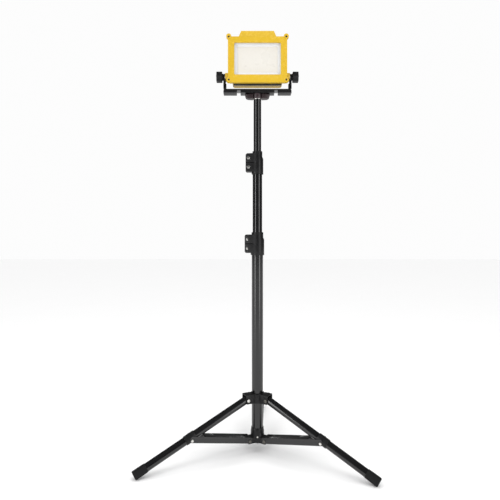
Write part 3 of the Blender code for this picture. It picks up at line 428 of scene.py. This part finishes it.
def block(low, high):
    """A plain box between two corners."""
    bm = bmesh.new()
    size = Vector(high) - Vector(low)
    centre = (Vector(high) + Vector(low)) / 2
    bmesh.ops.create_cube(bm, size=1.0, matrix=Matrix.Translation(centre) @ Matrix.Diagonal((*size, 1.0)))
    return bm


def plan_prism(outline, low, high):
    """A closed prism from a plan outline in X and Y, between two heights."""
    bm = bmesh.new()
    bottom = [bm.verts.new((x, y, low)) for x, y in outline]
    top = [bm.verts.new((x, y, high)) for x, y in outline]
    bm.faces.new(list(reversed(bottom)))
    bm.faces.new(top)
    for step in range(len(outline)):
        after = (step + 1) % len(outline)
        bm.faces.new((bottom[step], bottom[after], top[after], top[step]))
    return bm


def tube_profile(outer, wall, low, high, lip):
    inner = outer - wall
    return [(outer - lip, low), (outer, low + lip), (outer, high - lip), (outer - lip, high),
            (inner + lip, high), (inner, high - lip), (inner, low + lip), (inner + lip, low)]


def upright(centre):
    return Matrix.Translation((centre.x, centre.y, 0))


def along(origin, direction):
    """A frame with its Z along a direction."""
    turn = Vector(direction).to_track_quat("Z", "Y").to_matrix().to_4x4()
    return Matrix.Translation(origin) @ turn


# ---- geometry node trees for what repeats ----
def new_tree(name, inputs):
    tree = bpy.data.node_groups.new(name, "GeometryNodeTree")
    add_socket(tree, "Geometry", "INPUT", "NodeSocketGeometry")
    for label, kind, default in inputs:
        add_socket(tree, label, "INPUT", kind, default)
    add_socket(tree, "Geometry", "OUTPUT", "NodeSocketGeometry")
    return tree, node_in(tree, "NodeGroupInput").outputs, node_in(tree, "NodeGroupOutput").inputs


def close_tree(tree, given, made, instances):
    realize = node_in(tree, "GeometryNodeRealizeInstances")
    tree.links.new(instances, realize.inputs["Geometry"])
    paint = node_in(tree, "GeometryNodeSetMaterial")
    tree.links.new(realize.outputs["Geometry"], paint.inputs["Geometry"])
    tree.links.new(given["Material"], paint.inputs["Material"])
    tree.links.new(paint.outputs["Geometry"], made["Geometry"])


def aimed_instances(tree, given, shape):
    """Copies of a shape on the given points, each turned to the point's own aim."""
    aim = node_in(tree, "GeometryNodeInputNamedAttribute", data_type="FLOAT_VECTOR")
    aim.inputs["Name"].default_value = "aim"
    align = node_in(tree, "FunctionNodeAlignRotationToVector", axis="Z")
    tree.links.new(aim.outputs["Attribute"], align.inputs["Vector"])
    place = node_in(tree, "GeometryNodeInstanceOnPoints")
    tree.links.new(given["Geometry"], place.inputs["Points"])
    tree.links.new(shape, place.inputs["Instance"])
    tree.links.new(align.outputs["Rotation"], place.inputs["Rotation"])
    return place.outputs["Instances"]


def cylinder_in(tree, radius, depth, sides, lift):
    """A cylinder node moved up its axis by lift times its depth."""
    made = node_in(tree, "GeometryNodeMeshCylinder", fill_type="NGON")
    made.inputs["Vertices"].default_value = sides
    tree.links.new(radius, made.inputs["Radius"])
    tree.links.new(depth, made.inputs["Depth"])
    combine = node_in(tree, "ShaderNodeCombineXYZ")
    tree.links.new(math_in(tree, "MULTIPLY", depth, lift), combine.inputs["Z"])
    move = node_in(tree, "GeometryNodeTransform")
    tree.links.new(made.outputs["Mesh"], move.inputs["Geometry"])
    tree.links.new(combine.outputs[0], move.inputs["Translation"])
    return move.outputs["Geometry"]


def screw_tree():
    """Socket screws: a round head with a six-sided recess."""
    tree, given, made = new_tree("socket screws", [
        ("Radius", "NodeSocketFloat", 3.0 * MM), ("Height", "NodeSocketFloat", 2.0 * MM),
        ("Recess", "NodeSocketFloat", 0.5), ("Material", "NodeSocketMaterial", None)])
    head = cylinder_in(tree, given["Radius"], given["Height"], 32, 0.5)
    recess = math_in(tree, "MULTIPLY", given["Radius"], given["Recess"])
    hole = cylinder_in(tree, recess, given["Height"], 6, 1.05)
    cut = node_in(tree, "GeometryNodeMeshBoolean", operation="DIFFERENCE", solver="EXACT")
    tree.links.new(head, cut.inputs["Mesh 1"])
    tree.links.new(hole, cut.inputs["Mesh 2"])
    close_tree(tree, given, made, aimed_instances(tree, given, cut.outputs["Mesh"]))


def rivet_tree():
    """Domed rivet heads: half buried flattened balls."""
    tree, given, made = new_tree("domed rivets", [
        ("Radius", "NodeSocketFloat", 3.6 * MM), ("Dome", "NodeSocketFloat", 0.45),
        ("Material", "NodeSocketMaterial", None)])
    ball = node_in(tree, "GeometryNodeMeshUVSphere")
    ball.inputs["Segments"].default_value = 32
    ball.inputs["Rings"].default_value = 16
    tree.links.new(given["Radius"], ball.inputs["Radius"])
    flat = node_in(tree, "ShaderNodeCombineXYZ")
    flat.inputs["X"].default_value = 1.0
    flat.inputs["Y"].default_value = 1.0
    tree.links.new(given["Dome"], flat.inputs["Z"])
    squashed = node_in(tree, "GeometryNodeTransform")
    tree.links.new(ball.outputs["Mesh"], squashed.inputs["Geometry"])
    tree.links.new(flat.outputs[0], squashed.inputs["Scale"])
    close_tree(tree, given, made, aimed_instances(tree, given, squashed.outputs["Geometry"]))


def block_tree():
    """Small blocks on the given points, for the diodes."""
    tree, given, made = new_tree("repeated blocks", [
        ("Size", "NodeSocketVector", (1 * MM, 1 * MM, 1 * MM)), ("Material", "NodeSocketMaterial", None)])
    cube = node_in(tree, "GeometryNodeMeshCube")
    tree.links.new(given["Size"], cube.inputs["Size"])
    close_tree(tree, given, made, aimed_instances(tree, given, cube.outputs["Mesh"]))


def repeated(name, tree_name, points, body, slot, **values):
    """Bakes a tree over (place, aim) points into one plain mesh on one body."""
    mesh = bpy.data.meshes.new(name)
    mesh.from_pydata([tuple(place) for place, _ in points], [], [])
    aims = mesh.attributes.new("aim", "FLOAT_VECTOR", "POINT")
    aims.data.foreach_set("vector", [part for _, aim in points for part in aim])
    piece = linked(name, mesh)
    tree = bpy.data.node_groups[tree_name]
    modifier = piece.modifiers.new(tree_name, "NODES")
    modifier.node_group = tree
    for item in tree.interface.items_tree:
        if item.in_out == "INPUT" and item.name in values:
            modifier[item.identifier] = values[item.name]
    graph = bpy.context.evaluated_depsgraph_get()
    baked = bpy.data.meshes.new_from_object(piece.evaluated_get(graph), depsgraph=graph)
    piece.modifiers.clear()
    piece.data = baked
    baked.shade_smooth()
    baked.set_sharp_from_angle(angle=radians(35))
    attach(piece, body)
    return piece


def add_trees():
    for build in (screw_tree, rivet_tree, block_tree):
        build()


# ---- the stand ----
def add_tubes(sizes):
    for node, body in (("lower_tube", "stand"), ("mid_tube", "mid_section"), ("upper_tube", "upper_section")):
        low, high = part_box(node)
        radius = (high.x - low.x) / 2
        profile = tube_profile(radius, sizes.tube_wall, low.z, high.z, sizes.tube_lip)
        bm = turned(profile, upright(middle(node)), 96)
        piece = add_piece(node + "_finished", bm, body, "gloss black paint")
        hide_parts(node)


def add_clamps(sizes):
    for clamp, body in (("lower", "stand"), ("upper", "mid_section")):
        name = clamp + "_clamp_"
        add_clamp_body(name + "body", name + "upper_bolt", name + "lower_bolt", body, sizes)
        refined(name + "lever", clamp + "_lever", "moulded black plastic", sizes.edge)
        for bolt in ("lower_bolt", "upper_bolt"):
            refined(name + bolt, body, "zinc steel", SMALL_EDGE, PIN_ANGLE)


def joined(bm, extra):
    """Adds one bmesh's shapes to another, in the same order every run, and frees the second."""
    meshes = []
    for part in (bm, extra):
        meshes.append(bpy.data.meshes.new("part"))
        part.to_mesh(meshes[-1])
    extra.free()
    bm.clear()
    for mesh in meshes:
        bm.from_mesh(mesh)
        bpy.data.meshes.remove(mesh)


def rounded_corner(bm, corner, inward, radius):
    """Cuts a corner of a front view back to a round, one facet after another, and closes each cut."""
    centre = corner + inward * radius
    for angle in CORNER_ANGLES:
        outward = Vector((-inward.x * cos(radians(angle)), 0, -inward.z * sin(radians(angle))))
        bmesh.ops.bisect_plane(bm, geom=bm.verts[:] + bm.edges[:] + bm.faces[:], dist=1e-7,
                               plane_co=centre + outward * radius, plane_no=outward, clear_outer=True)
        bmesh.ops.holes_fill(bm, edges=[edge for edge in bm.edges if edge.is_boundary], sides=0)


def add_clamp_body(node, upper_bolt, lower_bolt, body, sizes):
    """The clamp with rounded ears and two cheeks that lead them into the ring, a gap apart."""
    low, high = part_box(node)
    radius = high.x - MAST.x
    slot_z = (middle(upper_bolt).z + middle(lower_bolt).z) / 2
    bm = merged(node)
    ears = [vert.co for vert in bm.verts if vert.co.x < low.x + 0.5 * MM]
    ear_low, ear_top = min(co.z for co in ears), max(co.z for co in ears)
    front = min(co.y for co in ears)
    rounded_corner(bm, Vector((low.x, 0, ear_top)), Vector((1, 0, -1)), sizes.ear_corner)
    rounded_corner(bm, Vector((low.x, 0, ear_low)), Vector((1, 0, 1)), sizes.ear_corner)
    round_edges(bm, sizes.edge)
    angles = [radians(angle) for angle in CHEEK_ANGLES]
    skin = [(MAST.x - radius * sin(angle), MAST.y - (radius + SKIN) * cos(angle)) for angle in angles]
    under = [(MAST.x - (radius - MM) * sin(angle), MAST.y - (radius - MM) * cos(angle)) for angle in angles]
    proud = front - sizes.cheek_proud
    outline = [(low.x + SKIN, proud), (MAST.x - radius * 0.8, min(proud, skin[3][1]))]
    outline += list(reversed(skin[:3])) + under[:-1] + [(low.x + SKIN, front + MM)]
    half = sizes.ear_slot / 2
    spans = ((slot_z + half, ear_top, ear_top, -1), (ear_low, slot_z - half, ear_low, 1))
    for bottom, top, corner, turn in spans:
        cheek = plan_prism(outline, bottom, top)
        rounded_corner(cheek, Vector((low.x + SKIN, 0, corner)), Vector((1, 0, turn)), sizes.ear_corner)
        bmesh.ops.recalc_face_normals(cheek, faces=cheek.faces)
        round_edges(cheek, sizes.edge, 40)
        joined(bm, cheek)
    piece = add_piece(node + "_finished", bm, body, "moulded black plastic")
    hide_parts(node)


def leg_frame(side, sizes):
    """A leg's pivot, its direction down the leg, and its level outward direction."""
    pivot = Vector(JOINTS[f"leg_{side}_fold"]["pos_m"])
    outward = Vector((pivot.x - MAST.x, pivot.y - MAST.y, 0)).normalized()
    down = outward * cos(sizes.leg_slope) - UP * sin(sizes.leg_slope)
    return pivot, down, outward


def reach_along(node, pivot, direction):
    """A node's first and last distance along a direction, and its widest distance from that line."""
    spans = []
    widest = 0.0
    for vert in NODES[node].data.vertices:
        away = vert.co - pivot
        span = away.dot(direction)
        spans.append(span)
        widest = max(widest, (away - direction * span).length)
    return min(spans), max(spans), widest


def add_legs(sizes):
    for side in SIDES:
        pivot, down, _ = leg_frame(side, sizes)
        body = "leg_" + side
        place = along(pivot, down)
        start, end, radius = reach_along(f"leg_tube_{side}", pivot, down)
        bm = turned(tube_profile(radius, sizes.tube_wall, start, end, sizes.tube_lip), place, 96)
        tube = add_piece(f"leg_tube_{side}_finished", bm, body, "gloss black paint")
        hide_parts(f"leg_tube_{side}")
        refined(f"leg_clip_{side}", body, "moulded black plastic", FINE_EDGE)
        add_foot(side, body, place, radius)
        # The left leg's pin keeps bright zinc; the right and rear pins take dark blackened steel as painted
        # shade for the shaded hex recess on the hub's ear.
        pin_finish_with_painted_shade = "zinc steel" if side == "left" else "blackened steel"
        refined(f"leg_pin_{side}", "leg_hub", pin_finish_with_painted_shade, FINE_EDGE, PIN_ANGLE)


def add_foot(side, body, place, tube_radius):
    """A flared rubber cap with shallow grooves, flattened where it meets the floor."""
    node = f"leg_foot_{side}"
    origin = place.translation
    direction = place.to_3x3() @ UP
    start, end, radius = reach_along(node, origin, direction)
    mouth = tube_radius + FOOT_CLEARANCE
    rim = (mouth - 0.6 * MM, start)
    flared = end - start - 2.4 * MM
    profile = [rim]
    steps = 24
    for step in range(steps + 1):
        share = step / steps
        flare = min(1.0, share / 0.6)
        groove = GROOVE if 0.62 < share < 0.92 and step % 2 else 0.0
        reach = mouth + (radius - mouth) * flare ** 1.6 - groove
        profile.append((reach, start + 0.4 * MM + share * flared))
    profile += [(radius - 0.6 * MM, end - 0.9 * MM), (radius - 1.8 * MM, end), (0, end)]
    bore = tube_radius + FOOT_FIT
    bm = turned(profile, place)
    joined(bm, turned([rim, (bore, start), (bore, end - FOOT_SOLE), (0, end - FOOT_SOLE)], place))
    bmesh.ops.remove_doubles(bm, verts=bm.verts, dist=MERGE / 2)
    for vert in bm.verts:
        vert.co.z = max(vert.co.z, 0.0)
    piece = add_piece(node + "_finished", bm, body, "black rubber")
    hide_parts(node)


def add_hubs(sizes):
    refined("leg_hub", "leg_hub", "hub plastic", sizes.edge)
    refined("lower_hub", "stand", "hub plastic", sizes.edge)
    refined("hub_lock_knob", "hub_lock", "moulded black plastic", sizes.edge)


def brace_frame(side, sizes):
    """A brace's inner and outer pin points, its direction and the level direction across it."""
    pivot, down, outward = leg_frame(side, sizes)
    below = -outward * sin(sizes.leg_slope) - UP * cos(sizes.leg_slope)
    outer = pivot + down * sizes.brace_pin_along + below * sizes.brace_pin_drop
    inner = Vector(JOINTS[f"brace_{side}_fold"]["pos_m"])
    return inner, outer, (outer - inner).normalized(), outward.cross(UP)


def add_brace(side, body, sizes):
    """The pressed channel, with its web carried on towards the leg."""
    inner, outer, direction, across = brace_frame(side, sizes)
    above = across.cross(direction)
    above = above if above.z > 0 else -above
    spans = [(vert.co - inner) for vert in NODES[f"brace_{side}"].data.vertices]
    half = max(abs(span.dot(across)) for span in spans)
    top = max(span.dot(above) for span in spans)
    length = (outer - inner).length
    bm = merged(f"brace_{side}")
    round_edges(bm, sizes.sheet_edge)
    start, end = length - WEB_START, length - sizes.web_gap
    web = block((start, -half + SKIN, top - BRACE_SHEET), (end, half - SKIN, top))
    place = Matrix((direction, across, above)).transposed().to_4x4()
    place.translation = inner
    bmesh.ops.transform(web, matrix=place, verts=web.verts)
    bmesh.ops.recalc_face_normals(web, faces=web.faces)
    round_edges(web, FINE_EDGE)
    joined(bm, web)
    piece = add_piece(f"brace_{side}_finished", bm, body, "gloss black paint")
    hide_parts(f"brace_{side}")


def add_braces(sizes):
    for side in SIDES:
        body = "brace_" + side
        add_brace(side, body, sizes)
        refined(f"brace_pin_{side}", body, "blackened steel", FINE_EDGE, PIN_ANGLE)


# ---- yoke and mast top ----
def add_wing_nut(sizes):
    """Two drooping wings on a hub whose skirt covers the top of the mast."""
    low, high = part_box("mast_wing_nut")
    reach = (high.x - low.x) / 2
    top, bottom = high.z, high.z - sizes.wing_droop
    skirt = sizes.wing_skirt
    shoulder = bottom + 0.5 * MM
    hub = turned([(NUT_BORE, top), (skirt + NUT_WALL, top), (skirt + NUT_WALL, shoulder), (skirt, shoulder),
                  (skirt, low.z), (NUT_BORE, low.z)], upright(MAST), 64)
    bmesh.ops.recalc_face_normals(hub, faces=hub.faces)
    round_edges(hub, SMALL_EDGE)
    face = [(skirt + 0.6 * MM, top - 0.3 * MM), (reach - 1 * MM, top - 0.3 * MM), (reach, top - 3 * MM),
            (reach - 3 * MM, bottom + 2 * MM), (reach - 8 * MM, bottom), (skirt + 0.6 * MM, bottom)]
    for side in (-1, 1):
        wing = plan_prism([(side * x, z) for x, z in face], -1.0, 1.0)
        for vert in wing.verts:
            x, z, level = vert.co
            share = (abs(x) - skirt) / (reach - skirt)
            depth = (high.y - low.y) / 2 * (0.95 - 0.35 * share)
            vert.co = (MAST.x + x, MAST.y + level * depth, z)
        bmesh.ops.recalc_face_normals(wing, faces=wing.faces)
        sharp = [edge for edge in wing.edges if edge.calc_face_angle(0) > radians(15)]
        bmesh.ops.bevel(wing, geom=sharp, offset=WING_EDGE, segments=3, profile=0.5, affect="EDGES")
        joined(hub, wing)
    piece = add_piece("mast_wing_nut_finished", hub, "wing_nut", "plum plastic")
    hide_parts("mast_wing_nut")


def add_yoke(sizes):
    """The bent strap with pressed stiffening lips along the fronts and backs of its ears."""
    low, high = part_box("yoke")
    bm = merged("yoke")
    round_edges(bm, sizes.sheet_edge)
    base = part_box("mount_block")[1].z + LIP_CLEARANCE
    top = TILT.z - sizes.lip_below
    for side in (-1, 1):
        edge = high.x if side > 0 else low.x
        inner = edge - side * sizes.lip_width
        for face, depth in ((low.y, sizes.lip_thick), (high.y, -sizes.lip_thick)):
            lip = block((min(edge - side * MM, inner), min(face, face + depth), base),
                        (max(edge - side * MM, inner), max(face, face + depth), top))
            crest = [vert for vert in lip.verts if vert.co.z > base + MM and abs(vert.co.x - inner) < MM / 10]
            for vert in crest:
                vert.co.z -= LIP_SLOPE
            bmesh.ops.recalc_face_normals(lip, faces=lip.faces)
            round_edges(lip, SMALL_EDGE)
            joined(bm, lip)
    piece = add_piece("yoke_finished", bm, "yoke", "gloss black paint")
    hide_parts("yoke")


def add_mast_top(sizes):
    add_wing_nut(sizes)
    refined("mast_adapter", "upper_section", "zinc steel", 0.2 * MM)
    add_yoke(sizes)
    refined("mount_block", "yoke", "moulded black plastic", sizes.edge)
    for side in ("left", "right"):
        refined(f"foot_pad_{side}", "yoke", "moulded black plastic", sizes.edge)
        refined(f"knob_{side}", f"knob_{side}", "moulded black plastic", sizes.knob_edge, 50)
        refined(f"tilt_washer_{side}", "head", "zinc steel", 0)


# ---- the lamp ----
def add_bezel(sizes):
    """The front frame, with a wide chamfer around its window and rounded outer edges."""
    low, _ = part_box("front_bezel")
    glass_low, glass_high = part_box("lens_glass")
    bm = merged("front_bezel")
    window = []
    for edge in bm.edges:
        at_front = all(abs(vert.co.y - low.y) < 0.05 * MM for vert in edge.verts)
        inside = all(glass_low.x < vert.co.x < glass_high.x and glass_low.z < vert.co.z < glass_high.z
                     for vert in edge.verts)
        if at_front and inside and edge.is_convex and edge.calc_face_angle(0) > radians(60):
            window.append(edge)
    made = bmesh.ops.bevel(bm, geom=window, offset=sizes.window_edge, segments=1, affect="EDGES")
    mark_edges(bm, made["faces"])
    round_edges(bm, sizes.shell_edge, 50)
    piece = add_piece("front_bezel_finished", bm, "head", "yellow shell plastic", 30)
    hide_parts("front_bezel")


def add_middle_frame(sizes):
    """The black frame between the shells, with a black lip along its underside that stands partly for a real
    gasket and partly as painted shade for the shadow gap under the bezel.
    """
    low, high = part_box("middle_frame")
    bm = merged("middle_frame")
    round_edges(bm, sizes.edge)
    inset = FRAME_LIP_INSET
    # The black lip widens the dark band under the bezel: partly a gasket, partly painted shade standing for
    # the shadow gap there.
    lip = block((low.x + inset, low.y + inset, low.z - sizes.frame_lip_with_painted_shade),
                (high.x - inset, high.y - inset, low.z + MM))
    for vert in lip.verts:
        if vert.co.z < low.z:
            vert.co.x += (MAST.x - vert.co.x) * 0.03
    bmesh.ops.recalc_face_normals(lip, faces=lip.faces)
    round_edges(lip, 0.6 * MM)
    joined(bm, lip)
    piece = add_piece("middle_frame_finished", bm, "head", "moulded black plastic")
    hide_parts("middle_frame")


def add_lamp_shell(sizes):
    add_bezel(sizes)
    add_middle_frame(sizes)
    refined("rear_shell", "head", "yellow shell plastic", sizes.edge)
    refined("battery_cover", "head", "yellow shell plastic", sizes.edge)
    refined("charge_flap", "charge_flap", "black rubber", sizes.edge)
    refined("power_button", "power_button", "moulded black plastic", sizes.edge)


def add_lens(sizes):
    """The frosted panel: a flat centre inside a shallow border that slopes inwards."""
    low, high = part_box("lens_glass")
    bm = bmesh.new()
    loops = []
    for inset, depth in ((0.0, high.y), (0.0, low.y + 0.3 * MM), (0.3 * MM, low.y), (LENS_RIM, low.y),
                         (sizes.lens_border, low.y + sizes.lens_dish)):
        corners = ((low.x + inset, low.z + inset), (high.x - inset, low.z + inset),
                   (high.x - inset, high.z - inset), (low.x + inset, high.z - inset))
        loops.append([bm.verts.new((x, depth, z)) for x, z in corners])
    for first, second in zip(loops, loops[1:]):
        for step in range(4):
            after = (step + 1) % 4
            bm.faces.new((first[step], first[after], second[after], second[step]))
    bm.faces.new(loops[-1])
    bm.faces.new(reversed(loops[0]))
    lens = add_piece("lens_finished", bm, "head", "lens border", 8)
    lens.data.materials.append(bpy.data.materials["frosted lens"])
    middle_y = low.y + sizes.lens_dish
    for face in lens.data.polygons:
        if all(abs(lens.data.vertices[index].co.y - middle_y) < 0.01 * MM for index in face.vertices):
            face.material_index = 1
    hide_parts("lens_glass")


def add_optics(sizes):
    add_lens(sizes)
    for node, material in (("reflector", "white tray plastic"),
                           ("led_board", "coated board"), ("lens_gasket", "black rubber"),
                           ("control_board", "circuit lacquer"), ("battery_pack", "shrink film"),
                           ("charge_socket", "moulded black plastic"),
                           ("mid_tube_bush", "moulded black plastic"),
                           ("upper_tube_bush", "moulded black plastic")):
        use(NODES[node], material)
    low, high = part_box("led_board")
    points = []
    for row in range(sizes.led_rows):
        for column in range(sizes.led_columns):
            across = (column + 0.5) / sizes.led_columns
            up = (row + 0.5) / sizes.led_rows
            place = Vector((low.x + across * (high.x - low.x), low.y - DIODE[2] / 2,
                            low.z + up * (high.z - low.z)))
            points.append((place, FRONT))
    repeated("diodes", "repeated blocks", points, "head", "white_tray", Size=DIODE,
             Material=bpy.data.materials["diode phosphor"])


# ---- fastenings ----
def add_fastenings(sizes):
    """Screws on the lamp's corner lugs, and rivets on the braces and the lower hub."""
    steel = bpy.data.materials["zinc steel"]
    low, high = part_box("front_bezel")
    centre = middle("front_bezel")
    points = []
    for across in (-1, 1):
        for top in (0, 1):
            x = centre.x + across * LUG_SCREW_ACROSS
            z = high.z - LUG_SCREW_DOWN if top else low.z + LUG_SCREW_UP
            points.append((Vector((x, low.y - 0.1 * MM, z)), FRONT))
    for side in SIDES:
        inner, outer, _, across = brace_frame(side, sizes)
        spans = [abs((vert.co - inner).dot(across)) for vert in NODES[f"brace_{side}"].data.vertices]
        ends = [(outer + across * sign * max(spans), across * sign) for sign in (-1, 1)]
        repeated(f"brace_{side}_rivets", "domed rivets", ends, f"brace_{side}", "bright_steel",
                 Radius=sizes.rivet, Dome=0.4, Material=steel)
    hub_front = Vector((MAST.x, MAST.y - sizes.hub_radius, sizes.hub_rivet_height))
    repeated("hub_rivet", "domed rivets", [(hub_front, FRONT)], "stand", "bright_steel",
             Radius=sizes.rivet * 0.7, Dome=0.45, Material=steel)
    repeated("shell_screws", "socket screws", points, "head", "bright_steel", Radius=sizes.shell_screw,
             Height=SCREW_HEIGHT, Recess=0.45, Material=bpy.data.materials["blackened steel"])


# ---- stage ----
def add_light(name, place, target, size, energy):
    data = bpy.data.lights.new(name, "AREA")
    data.shape = "RECTANGLE"
    data.size, data.size_y = size
    data.energy = energy
    light = linked(name, data)
    light.location = place
    light.rotation_euler = (Vector(target) - Vector(place)).to_track_quat("-Z", "Y").to_euler()


def add_floor(colour):
    mesh = bpy.data.meshes.new("studio_floor")
    corners = [(x * FLOOR_HALF, y * FLOOR_HALF, 0) for x, y in ((-1, -1), (1, -1), (1, 1), (-1, 1))]
    mesh.from_pydata(corners, [], [(0, 1, 2, 3)])
    floor = linked("studio_floor", mesh)
    material = bpy.data.materials.new("studio floor")
    material.use_nodes = True
    tree = material.node_tree
    shader = tree.nodes["Principled BSDF"]
    place = node_in(tree, "ShaderNodeTexCoord").outputs["Object"]
    cloud = noise_in(tree, place, 3.0, 3.0)
    tint = tuple(colour)[:3]
    tree.links.new(mix_in(tree, cloud, tint + (1.0,), tuple(part * 0.985 for part in tint) + (1.0,)),
                   shader.inputs["Base Color"])
    shader.inputs["Roughness"].default_value = 0.7
    floor.data.materials.append(material)


def add_camera():
    data = bpy.data.cameras.new("camera")
    data.sensor_width = 36.0
    data.lens = FOCAL_RATIO * data.sensor_width
    data.shift_y = -0.02
    camera = linked("camera", data)
    camera.location = CAMERA_PLACE
    camera.rotation_euler = (radians(90), 0, 0)
    bpy.context.scene.camera = camera


def add_stage(colours):
    add_floor(colours.floor)
    world = bpy.data.worlds.new("studio")
    world.use_nodes = True
    background = world.node_tree.nodes["Background"]
    background.inputs["Color"].default_value = (1.0, 1.0, 1.0, 1.0)
    seen = node_in(world.node_tree, "ShaderNodeLightPath").outputs["Is Camera Ray"]
    strength = range_in(world.node_tree, seen, 0.0, 1.0, 0.12, 0.98)
    world.node_tree.links.new(strength, background.inputs["Strength"])
    bpy.context.scene.world = world
    bpy.context.scene.view_settings.view_transform = "Standard"
    middle_height = (MAST.x, MAST.y, 0.6)
    add_light("left_softbox", (MAST.x - 1.5, MAST.y - 1.3, 1.0), middle_height, (0.45, 2.0), 17)
    add_light("right_softbox", (MAST.x + 1.5, MAST.y - 1.5, 1.0), middle_height, (0.75, 2.0), 17)
    sky = bpy.data.lights.new("broad_sky", "SUN")
    sky.energy = SKY_ENERGY
    sky.angle = SKY_ANGLE
    above = linked("broad_sky", sky)
    above.rotation_euler = (SKY_LEAN, 0, 0)
    above.visible_glossy = False
    add_camera()


# ---- operators ----
class OBJECT_OT_work_light_materials(bpy.types.Operator):
    """Make the finishes and the trees for repeated pieces"""
    bl_idname = "object.work_light_materials"
    bl_label = "Finishes"
    bl_options = {"REGISTER", "UNDO"}

    def execute(self, context):
        add_materials(context.scene.work_light_colours)
        add_trees()
        return {"FINISHED"}


class OBJECT_OT_work_light_tubes(bpy.types.Operator):
    """Make the three mast tubes"""
    bl_idname = "object.work_light_tubes"
    bl_label = "Mast Tubes"
    bl_options = {"REGISTER", "UNDO"}

    def execute(self, context):
        add_tubes(context.scene.work_light_sizes)
        return {"FINISHED"}


class OBJECT_OT_work_light_clamps(bpy.types.Operator):
    """Make both mast clamps with their levers and bolts"""
    bl_idname = "object.work_light_clamps"
    bl_label = "Clamps"
    bl_options = {"REGISTER", "UNDO"}

    def execute(self, context):
        add_clamps(context.scene.work_light_sizes)
        return {"FINISHED"}


class OBJECT_OT_work_light_legs(bpy.types.Operator):
    """Make the legs with their clips and foot caps"""
    bl_idname = "object.work_light_legs"
    bl_label = "Legs"
    bl_options = {"REGISTER", "UNDO"}

    def execute(self, context):
        add_legs(context.scene.work_light_sizes)
        return {"FINISHED"}


class OBJECT_OT_work_light_hubs(bpy.types.Operator):
    """Make the sliding leg hub, its lock and the lower hub"""
    bl_idname = "object.work_light_hubs"
    bl_label = "Hubs"
    bl_options = {"REGISTER", "UNDO"}

    def execute(self, context):
        add_hubs(context.scene.work_light_sizes)
        return {"FINISHED"}


class OBJECT_OT_work_light_braces(bpy.types.Operator):
    """Make the pressed braces and their pins"""
    bl_idname = "object.work_light_braces"
    bl_label = "Braces"
    bl_options = {"REGISTER", "UNDO"}

    def execute(self, context):
        add_braces(context.scene.work_light_sizes)
        return {"FINISHED"}


class OBJECT_OT_work_light_yoke(bpy.types.Operator):
    """Make the yoke, its block and pads, the wing nut and the tilt knobs"""
    bl_idname = "object.work_light_yoke"
    bl_label = "Yoke"
    bl_options = {"REGISTER", "UNDO"}

    def execute(self, context):
        add_mast_top(context.scene.work_light_sizes)
        return {"FINISHED"}


class OBJECT_OT_work_light_shell(bpy.types.Operator):
    """Make the lamp's bezel, frame, rear shell, door, button and flap"""
    bl_idname = "object.work_light_shell"
    bl_label = "Lamp Shell"
    bl_options = {"REGISTER", "UNDO"}

    def execute(self, context):
        add_lamp_shell(context.scene.work_light_sizes)
        return {"FINISHED"}


class OBJECT_OT_work_light_optics(bpy.types.Operator):
    """Finish the lens, tray, board and the grid of diodes"""
    bl_idname = "object.work_light_optics"
    bl_label = "Optics"
    bl_options = {"REGISTER", "UNDO"}

    def execute(self, context):
        add_optics(context.scene.work_light_sizes)
        return {"FINISHED"}


class OBJECT_OT_work_light_fastenings(bpy.types.Operator):
    """Add the screws and rivets"""
    bl_idname = "object.work_light_fastenings"
    bl_label = "Fastenings"
    bl_options = {"REGISTER", "UNDO"}

    def execute(self, context):
        add_fastenings(context.scene.work_light_sizes)
        return {"FINISHED"}


class SCENE_OT_work_light_stage(bpy.types.Operator):
    """Add the floor, studio lights and camera"""
    bl_idname = "scene.work_light_stage"
    bl_label = "Stage"
    bl_options = {"REGISTER", "UNDO"}

    def execute(self, context):
        add_stage(context.scene.work_light_colours)
        return {"FINISHED"}


OPERATORS = (
    OBJECT_OT_work_light_materials,
    OBJECT_OT_work_light_tubes,
    OBJECT_OT_work_light_clamps,
    OBJECT_OT_work_light_legs,
    OBJECT_OT_work_light_hubs,
    OBJECT_OT_work_light_braces,
    OBJECT_OT_work_light_yoke,
    OBJECT_OT_work_light_shell,
    OBJECT_OT_work_light_optics,
    OBJECT_OT_work_light_fastenings,
    SCENE_OT_work_light_stage,
)


class VIEW3D_PT_work_light(bpy.types.Panel):
    """Sidebar panel with the sizes, colours and one button for each group of pieces"""
    bl_idname = "VIEW3D_PT_work_light"
    bl_label = "Work Light"
    bl_space_type = "VIEW_3D"
    bl_region_type = "UI"
    bl_category = "Work Light"

    def draw(self, context):
        for settings in (context.scene.work_light_sizes, context.scene.work_light_colours):
            column = self.layout.column()
            for name in settings.__annotations__:
                column.prop(settings, name)
        for operator in OPERATORS:
            self.layout.operator(operator.bl_idname)


CLASSES = (WorkLightSizes, WorkLightColours) + OPERATORS + (VIEW3D_PT_work_light,)


def register():
    for cls in CLASSES:
        bpy.utils.register_class(cls)
    bpy.types.Scene.work_light_sizes = PointerProperty(type=WorkLightSizes)
    bpy.types.Scene.work_light_colours = PointerProperty(type=WorkLightColours)


def unregister():
    del bpy.types.Scene.work_light_colours
    del bpy.types.Scene.work_light_sizes
    for cls in reversed(CLASSES):
        bpy.utils.unregister_class(cls)


def main():
    register()
    for operator in OPERATORS:
        area, name = operator.bl_idname.split(".")
        getattr(getattr(bpy.ops, area), name)()


if __name__ == "__main__":
    main()
